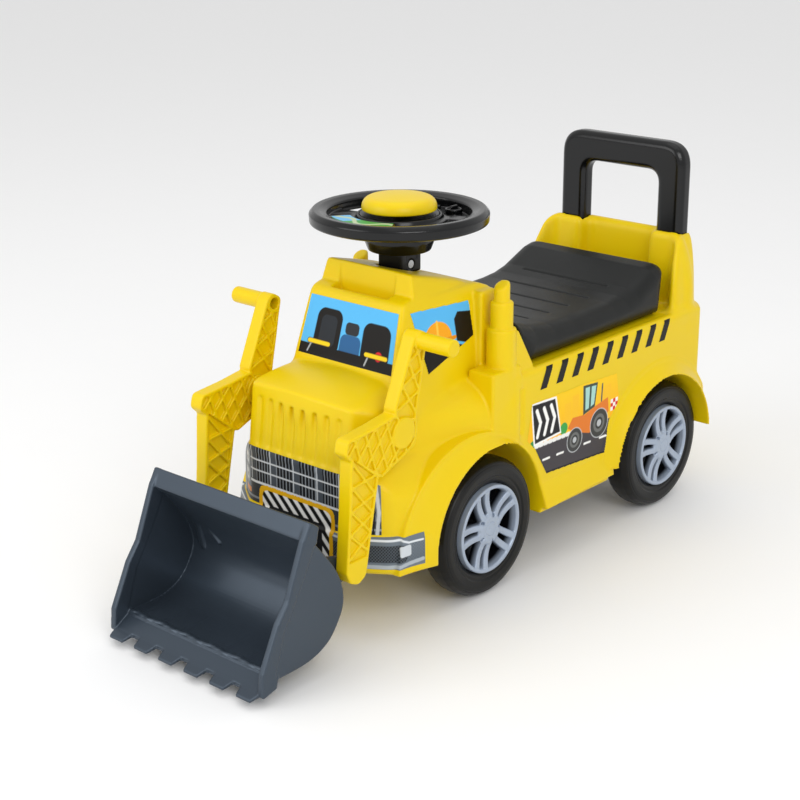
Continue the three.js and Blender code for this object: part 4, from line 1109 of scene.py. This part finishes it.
class Print:
    """Ink on a grid of (u, v) points in millimetres. Each shape covers what was laid before it."""

    def __init__(self, u, v, ground):
        self.u, self.v = u, v
        self.ink = np.ones(u.shape + (3,)) * np.array(linear(ground))

    def lay(self, distance, color):
        cover = np.clip(0.5 - distance / 0.4, 0, 1)[..., None]
        self.ink = self.ink * (1 - cover) + np.array(linear(color)) * cover

    def rect(self, u0, u1, v0, v1, color, r=0.0):
        du = beyond(self.u, u0, u1) + r
        dv = beyond(self.v, v0, v1) + r
        outside = np.hypot(np.maximum(du, 0), np.maximum(dv, 0))
        self.lay(outside + np.minimum(np.maximum(du, dv), 0) - r, color)

    def disc(self, u, v, r, color):
        self.lay(np.hypot(self.u - u, self.v - v) - r, color)

    def line(self, points, width, color):
        for a, b in zip(points, points[1:]):
            self.lay(segment(self.u, self.v, a, b) - width / 2, color)

    def shape(self, points, color):
        self.lay(outline_distance(self.u, self.v, points), color)

    def fade(self, low, high, bottom, top):
        t = np.clip((self.v - low) / (high - low), 0, 1)[..., None]
        self.ink = np.array(linear(bottom)) * (1 - t) + np.array(linear(top)) * t


def sticker(name, tree, span, place, paint, outline=None, rides="chassis", slot="body_yellow", step=0.6,
            lift=0.22):
    """Lays a printed film on a moulding: every grid point is dropped onto the surface along its own ray."""
    step *= COARSE
    lines = [np.linspace(a, b, int((b - a) / step) + 2) for a, b in (span[:2], span[2:])]
    u, v = np.meshgrid(*lines, indexing="ij")
    start, toward = place(u, v)
    toward = np.broadcast_to(toward / np.linalg.norm(toward, axis=-1, keepdims=True), start.shape)
    points = np.full(start.shape, np.nan)
    for index in np.ndindex(u.shape):
        hit = tree.ray_cast(Vector(start[index] * MM), Vector(toward[index]))
        if hit[0] is not None:
            points[index] = np.array(hit[0]) / MM - toward[index] * lift
    ink = paint(Print(u, v, "#000000")).ink
    shown = np.isfinite(points[..., 0])
    if outline is not None:
        shown &= outline(u, v) <= 0
    ids = np.arange(u.size).reshape(u.shape)
    whole = shown[:-1, :-1] & shown[1:, :-1] & shown[1:, 1:] & shown[:-1, 1:]
    corners = [ids[:-1, :-1], ids[1:, :-1], ids[1:, 1:], ids[:-1, 1:]]
    faces = np.stack([c[whole] for c in corners], axis=1)
    flat = points.reshape(-1, 3)
    a, b, c = (flat[faces[len(faces) // 2, i]] for i in range(3))
    if np.dot(np.cross(b - a, c - a), toward.reshape(-1, 3)[faces[len(faces) // 2, 0]]) > 0:
        faces = faces[:, ::-1]
    used = np.unique(faces)
    renumber = np.zeros(u.size, int)
    renumber[used] = np.arange(len(used))
    piece = mesh_object(name, flat[used] * MM, renumber[faces])
    lay_ink(piece, ink.reshape(-1, 3)[used])
    return finish_piece(piece, FILM, rides, slot)


def stacked(*columns):
    """Points from their x, y and z, any of which may be one number."""
    return np.stack(np.broadcast_arrays(*columns), axis=-1).astype(float)


# windscreen: u runs across the screen and v up it, both in millimetres
SCREEN_H = 53


def screen_place(u, v):
    t = v / SCREEN_H
    return stacked(u * (1 - 0.07 * t), -119 + 16 * t - 30, 226.5 + 51.5 * t + 8), np.array((0, 1, -0.27))


def screen_paint(ink):
    """Two dark seats, a plain faceless head and shoulders between them, sky behind and two wipers."""
    ink.rect(-70, 70, -5, 60, SKY)
    ink.rect(-42, -10, 4, 44, SOOT, 9)
    ink.rect(17, 51, 4, 40, SOOT, 9)
    ink.rect(-36, -16, 10, 38, "#262A30", 6)
    ink.rect(-9, 16, 0, 25, "#2B5F93", 6)
    ink.rect(-5, 12, 25, 36, "#2B2E33", 4)
    ink.rect(-70, 70, -5, 10, SOOT)
    ink.disc(39, 13, 4.2, "#D3202B")
    for x in (-46, 24):
        ink.line([(x, 3), (x + 3, 11)], 1.6, "#A9AEB3")
        ink.line([(x, 12.5), (x + 24, 12.5)], 4.8, SOOT)
        ink.line([(x, 12.5), (x + 24, 12.5)], 3.6, "#F5CF1C")
    return ink


SIDE_WINDOW = [(-95, 278), (-21, 275), (-17, 242), (-80, 220)]


def window_paint(ink):
    """Sky, dark shapes of the cab and a plain hard hat."""
    ink.rect(-110, 0, 200, 290, SKY)
    ink.shape([(-40, 242), (-42, 262), (-37, 268), (-10, 264), (-10, 232)], SOOT)
    ink.shape([(-84, 243), (-45, 241), (-30, 236), (-60, 222), (-84, 218)], SOOT)
    ink.shape(arc(-64, 246, 18, 0, 180, 14), "#F2A51B")
    ink.line([(-84, 246), (-42, 246)], 3.4, "#E08E14")
    ink.line([(-64, 247), (-64, 264)], 2.4, "#FFC747")
    return ink


def front_place(u, v):
    return stacked(u, -230, v), np.array((0.0, 1.0, 0.0))


def lamp(ink, side, low, high):
    """A bright reflector behind a clear cover."""
    a, b = sorted((side * 68, side * 86))
    ink.rect(a, b, low, high, "#9AA2AA", 3)
    ink.rect(a + 2, b - 2, low + 2, high - 2, "#D7DCE0", 3)
    ink.disc((a + b) / 2, (low + high) / 2 + 1, 4.4, "#8A9299")
    ink.disc((a + b) / 2 - 1, (low + high) / 2 + 2, 2.4, "#FFFFFF")


def grille_paint(ink):
    """Chrome fins between posts, a grey band below, and a stack of lamps at each corner."""
    ink.rect(-120, 120, 90, 160, "#17181B")
    for x in range(-60, 61, 4):
        ink.line([(x, 121), (x, 153)], 1.0, CHROME)
    for x in (-58, -29, 0, 29, 58):
        ink.rect(x - 4.5, x + 4.5, 121, 153, "#4A5057", 1.5)
        ink.line([(x - 3, 122), (x - 3, 152)], 1.4, "#C9CED3")
    for z in (131, 141):
        ink.line([(-64, z), (64, z)], 1.3, "#D5D9DC")
    ink.rect(-120, 120, 90, 118, "#3B4046")
    ink.line([(-64, 119.5), (64, 119.5)], 2.4, "#DDE1E4")
    ink.line([(-104, 104), (104, 104)], 2.0, CHROME)
    for s in (-1, 1):
        a, b = sorted((s * 64, s * 120))
        ink.rect(a, b, 112, 160, "#6F777F", 2)
        lamp(ink, s, 131, 145)
        lamp(ink, s, 115, 129)
        ink.line([(s * 94, 100), (s * 96, 120), (s * 93, 146)], 3.4, "#C3C9CE")
        ink.line([(s * 90, 100), (s * 92, 120), (s * 89, 146)], 1.6, "#17181B")
        a, b = sorted((s * 64, s * 82))
        ink.rect(a, b, 106.5, 111.5, "#E8912A", 1.5)
    return ink


def plate_paint(ink):
    """A yellow-framed hazard surround with slanted black and white stripes round a dark middle."""
    ink.rect(-60, 60, 50, 130, FRAME_YELLOW)
    ink.rect(-42.5, 42.5, 50, 114.5, "#F4F4F2", 7)
    for i in range(-10, 8):
        low = i * 12.5
        ink.shape([(low + 66, 50), (low + 72.4, 50), (low + 6.4, 116), (low, 116)], "#141414")
    edge = rounded([(-42.5, 40), (-42.5, 114.5), (42.5, 114.5), (42.5, 40)], 7)
    ink.lay(-outline_distance(ink.u, ink.v, edge), FRAME_YELLOW)
    ink.rect(-34, 34, 50, 101, "#1B1C1E", 3)
    return ink


BUMPER_PATH = ((0, -190), (62, -190), (99, -165), (112, -133))
NOSE_PATH = ((0, -190), (62, -190), (96, -160), (104, -128))


def wrapped(path, away=18):
    """Places (u, v) on a wall along a path round the nose; u is the length along it from the middle."""
    corners = np.array(path, float)
    legs = np.diff(corners, axis=0)
    lengths = np.hypot(*legs.T)
    stops = np.concatenate([[0], np.cumsum(lengths)])
    middle = (stops[:-1] + stops[1:]) / 2

    def place(u, v):
        s = np.where(u < 0, -1.0, 1.0)
        x = np.interp(np.abs(u), stops, corners[:, 0])
        y = np.interp(np.abs(u), stops, corners[:, 1])
        outward_x = np.interp(np.abs(u), middle, legs[:, 1] / lengths)
        outward_y = np.interp(np.abs(u), middle, -legs[:, 0] / lengths)
        inward = stacked(-outward_x * s, -outward_y, 0)
        return stacked(x * s, y, v) - inward * away, inward

    return place


def bumper_paint(ink):
    """A grey bumper with a dark mesh, a light line over it and a pale step below."""
    ink.u = np.abs(ink.u) - 47
    ink.fade(66, 103, "#59626B", "#7D8790")
    ink.rect(-5, 76, 75, 91, "#1D2024", 5)
    for i in range(-8, 40):
        ink.line([(i * 3, 74), (i * 3 + 17, 91)], 0.5, "#565E66")
        ink.line([(i * 3 + 17, 74), (i * 3, 91)], 0.5, "#565E66")
    ink.rect(-5, 120, 91, 104, "#6B757E")
    ink.rect(-5, 120, 60, 75, "#6B757E")
    ink.line([(-5, 95.5), (70, 95.5), (78, 92), (92, 92)], 1.8, "#D9DEE2")
    ink.line([(-5, 71), (60, 71), (92, 74)], 3.4, "#A9B1B8")
    ink.rect(68, 80, 80, 90, "#C9CFD4", 2)
    return ink


def side_place(s):
    return lambda u, v: (stacked(s * 135, u, v), np.array((-s, 0, 0)))


PICTURE = [(51.7, 96), (145.5, 90), (153, 122), (170, 139), (164, 168), (108, 171), (27.5, 172), (21, 137),
           (33, 126)]


def wheel_print(ink, y, z, r):
    for part, color in ((r, "#C7CBCD"), (r - 0.8, "#3A3B3A"), (r * 0.62, "#6A6C6A"), (r * 0.4, "#2A2B2A"),
                        (r * 0.24, "#B9BDBF")):
        ink.disc(y, z, part, color)


def picture_paint(ink):
    """A tractor on a road with kerb stones, bushes, a chequered barrier and a board of chevrons."""
    ink.fade(128, 172, "#F9B716", "#F7CB08")
    for y, z in ((84, 158), (96, 163), (140, 157), (150, 160)):
        ink.rect(y - 5, y + 5, 120, z, "#F7C01A")
    ink.disc(30, 129, 6, "#2E8C3C")
    ink.disc(78, 134, 6, "#3BA048")
    ink.shape([(20, 128.5), (160, 124), (160, 80), (30, 80)], "#403C40")
    ink.line([(46, 97.5), (146, 91)], 1.8, "#141313")
    for i in range(8):
        ink.line([(34 + i * 7, 128.0 - i * 0.2), (37.5 + i * 7, 127.9 - i * 0.2)], 4.2, "#EDEDE8")
    for y in (46, 68, 112, 138):
        ink.line([(y, 111.5 - (y - 46) * 0.04), (y + 10, 111.1 - (y - 46) * 0.04)], 2.2, "#F2F2EE")
    hood = [(84, 132), (92, 141), (112, 139), (128, 143), (150, 147), (152, 132), (120, 118), (100, 124)]
    ink.shape(hood, "#E07A25")
    ink.shape([(109, 139), (108, 169), (132, 167), (128, 143)], "#39493F")
    for pane in ([(112.5, 143), (111.8, 166), (119, 165.5), (118, 144)],
                 [(121, 144.5), (122, 165), (129.5, 164.5), (126.5, 146)]):
        ink.shape(pane, "#A8D4CB")
    ink.line([(139, 146), (140, 163)], 2.2, "#4B4F50")
    wheel_print(ink, 136, 124, 15)
    wheel_print(ink, 96, 117.5, 12.5)
    for i in range(3):
        for j in range(3):
            color = "#D4252B" if (i + j) % 2 else PALE
            ink.rect(155 + i * 4, 159 + i * 4, 131 + j * 4, 135 + j * 4, color)
    ink.shape([(26, 172), (65, 170), (74, 131), (31, 129)], PALE)
    ink.shape([(28, 170), (63, 168), (72, 133), (33, 131)], "#16161A")
    for i in range(3):
        y = 35 + i * 11
        ink.line([(y, 163), (y + 6, 150), (y + 1.5, 137)], 4.2, PALE)
    return ink


BAR_W, BAR_SLANT, BAR_PITCH, BAR_COUNT = 10.8, 9.5, 24.7, 9
BAR_LOW, BAR_HIGH, BAR_Y = 182.5, 203, 39


def bars_outline(u, v):
    """A row of slanted bars."""
    lean = u - BAR_Y - (v - BAR_LOW) / (BAR_HIGH - BAR_LOW) * BAR_SLANT
    step = np.clip(np.floor(lean / BAR_PITCH + 0.3), 0, BAR_COUNT - 1)
    return np.abs(lean - step * BAR_PITCH - BAR_W / 2) - BAR_W / 2


def bars_paint(ink):
    ink.rect(-400, 400, 0, 400, "#151312")
    return ink


def panel_place(u, v):
    a = np.radians(u)
    return stacked(v * np.cos(a), STEER_Y + v * np.sin(a), STEER_TOP + 20), np.array((0.0, 0.0, -1.0))


def panel_paint(ink):
    """Hills, a path and sky, drawn in polar degrees and radius."""
    ink.lay(np.full(ink.u.shape, -1.0), "#3F9E46")
    ink.lay(ink.v * 0.25 + (ink.u - 262) * 0.5 - 12, "#69B6E6")
    ink.lay(np.abs(ink.v - 53 - 5 * np.sin(ink.u / 7)) - 2.4, "#B9C9A0")
    ink.lay(np.abs(ink.v - 60 + 0.1 * (ink.u - 270)) - 1.6, "#2F7F3C")
    return ink


def stickers():
    """Every film; those on the flanks are laid on both sides."""
    sticker("windscreen_print", BODY_TREE, (-57, 57, 0, SCREEN_H), screen_place, screen_paint,
            lambda u, v: np.abs(u) - 56.5)
    sticker("grille_print", BODY_TREE, (-98, 98, 99.5, 153), wrapped(NOSE_PATH), grille_paint,
            lambda u, v: v - 153.5 + np.maximum(np.abs(u) - 62, 0) * 0.25)
    bars = (BAR_Y - 1, BAR_Y + BAR_PITCH * (BAR_COUNT - 1) + BAR_W + BAR_SLANT + 1, BAR_LOW, BAR_HIGH)
    for side, s in SIDES:
        sticker(f"side_window_print_{side}", BODY_TREE, (-95, -17, 220, 278), side_place(s), window_paint,
                lambda u, v: outline_distance(u, v, SIDE_WINDOW))
        ends = sorted((s * 47, s * 141))
        sticker(f"bumper_print_{side}", BODY_TREE, (*ends, 69, 98), wrapped(BUMPER_PATH), bumper_paint)
        sticker(f"picture_print_{side}", BODY_TREE, (21, 170, 90, 172), side_place(s), picture_paint,
                lambda u, v: outline_distance(u, v, PICTURE))
        sticker(f"hazard_bars_{side}", BODY_TREE, bars, side_place(s), bars_paint, bars_outline, step=0.5)
    plate = rounded([(-47, 40), (-47, 119), (47, 119), (47, 40)], 9)
    sticker("hazard_plate_print", BODY_TREE, (-47, 47, 62, 119), front_place, plate_paint,
            lambda u, v: outline_distance(u, v, plate), lift=0.5)
    wheel_tree = BVHTree.FromObject(STEERING, bpy.context.evaluated_depsgraph_get())
    panel = (PANEL_TURN[0] + 3, PANEL_TURN[1] - 3, PANEL_R[0] + 2, PANEL_R[1] - 2)
    sticker("wheel_panel_print", wheel_tree, panel, panel_place, panel_paint, rides="steering",
            slot="black_plastic")


stickers()

# ---------------------------------------------------------------- CAD pieces that keep their shape

CAD_FINISH = {
    "base_tray": PLAIN_BLACK, "knuckle": PLAIN_BLACK, "tie_rod": PLAIN_BLACK, "storage_bin": PLAIN_GREY,
    "roof_bush": PLAIN_GREY, "speaker": PLAIN_GREY, "hub_cover": BLACK_SATIN, "sound_module": BOARD,
    "battery": SLEEVE,
}
for name, node in frame["nodes"].items():
    match = [m for key, m in CAD_FINISH.items() if name.startswith(key)]
    node.data.materials.clear()
    node.data.materials.append(match[0] if match else STEEL)


# ---------------------------------------------------------------- floor, light, camera


LIGHTS = (("key", (2.0, -1.3, 1.7), 1.3, 22), ("fill", (-0.9, -2.2, 1.3), 1.6, 17),
          ("top", (0.1, 0.2, 2.6), 2.0, 8))     # name, place, size in metres and watts


def studio():
    """A pale floor, a white sky and three soft lights aimed at the middle of the toy."""
    bpy.ops.mesh.primitive_plane_add(size=12, location=(0, 0, 0))
    floor = bpy.context.object
    floor.name = "studio_floor"
    floor.data.materials.append(plastic("studio_paper", (0.92, 0.92, 0.92), 0.8, grain=0.0001, mottle=0.004))
    world = bpy.data.worlds.new("studio_world")
    bpy.context.scene.world = world
    world.use_nodes = True
    sky = world.node_tree.nodes["Background"]
    sky.inputs["Color"].default_value = (1, 1, 1, 1)
    sky.inputs["Strength"].default_value = 0.8
    for name, place, size, power in LIGHTS:
        data = bpy.data.lights.new(name, "AREA")
        data.size = size
        data.energy = power
        light = bpy.data.objects.new(name, data)
        light.location = place
        light.rotation_euler = (Vector((0, 0, 0.15)) - Vector(place)).to_track_quat("-Z", "Y").to_euler()
        bpy.context.scene.collection.objects.link(light)


def camera():
    """The camera, looking down at the front left corner."""
    azimuth, elevation, tilt = (math.radians(a) for a in (41.66, 19.15, -0.32))
    away = 1.5585
    target = Vector((0.0005, -0.0436, 0.1722))
    toward = Vector((math.sin(azimuth) * math.cos(elevation), -math.cos(azimuth) * math.cos(elevation),
                     math.sin(elevation)))
    data = bpy.data.cameras.new("camera")
    data.lens = 75.6
    data.sensor_width = 36
    made = bpy.data.objects.new("camera", data)
    made.location = target + toward * away
    aim = (-toward).to_track_quat("-Z", "Y") @ Quaternion((0, 0, 1), tilt)
    made.rotation_euler = aim.to_euler()
    bpy.context.scene.collection.objects.link(made)
    bpy.context.scene.camera = made


studio()
camera()
bpy.context.scene.view_settings.view_transform = "Standard"
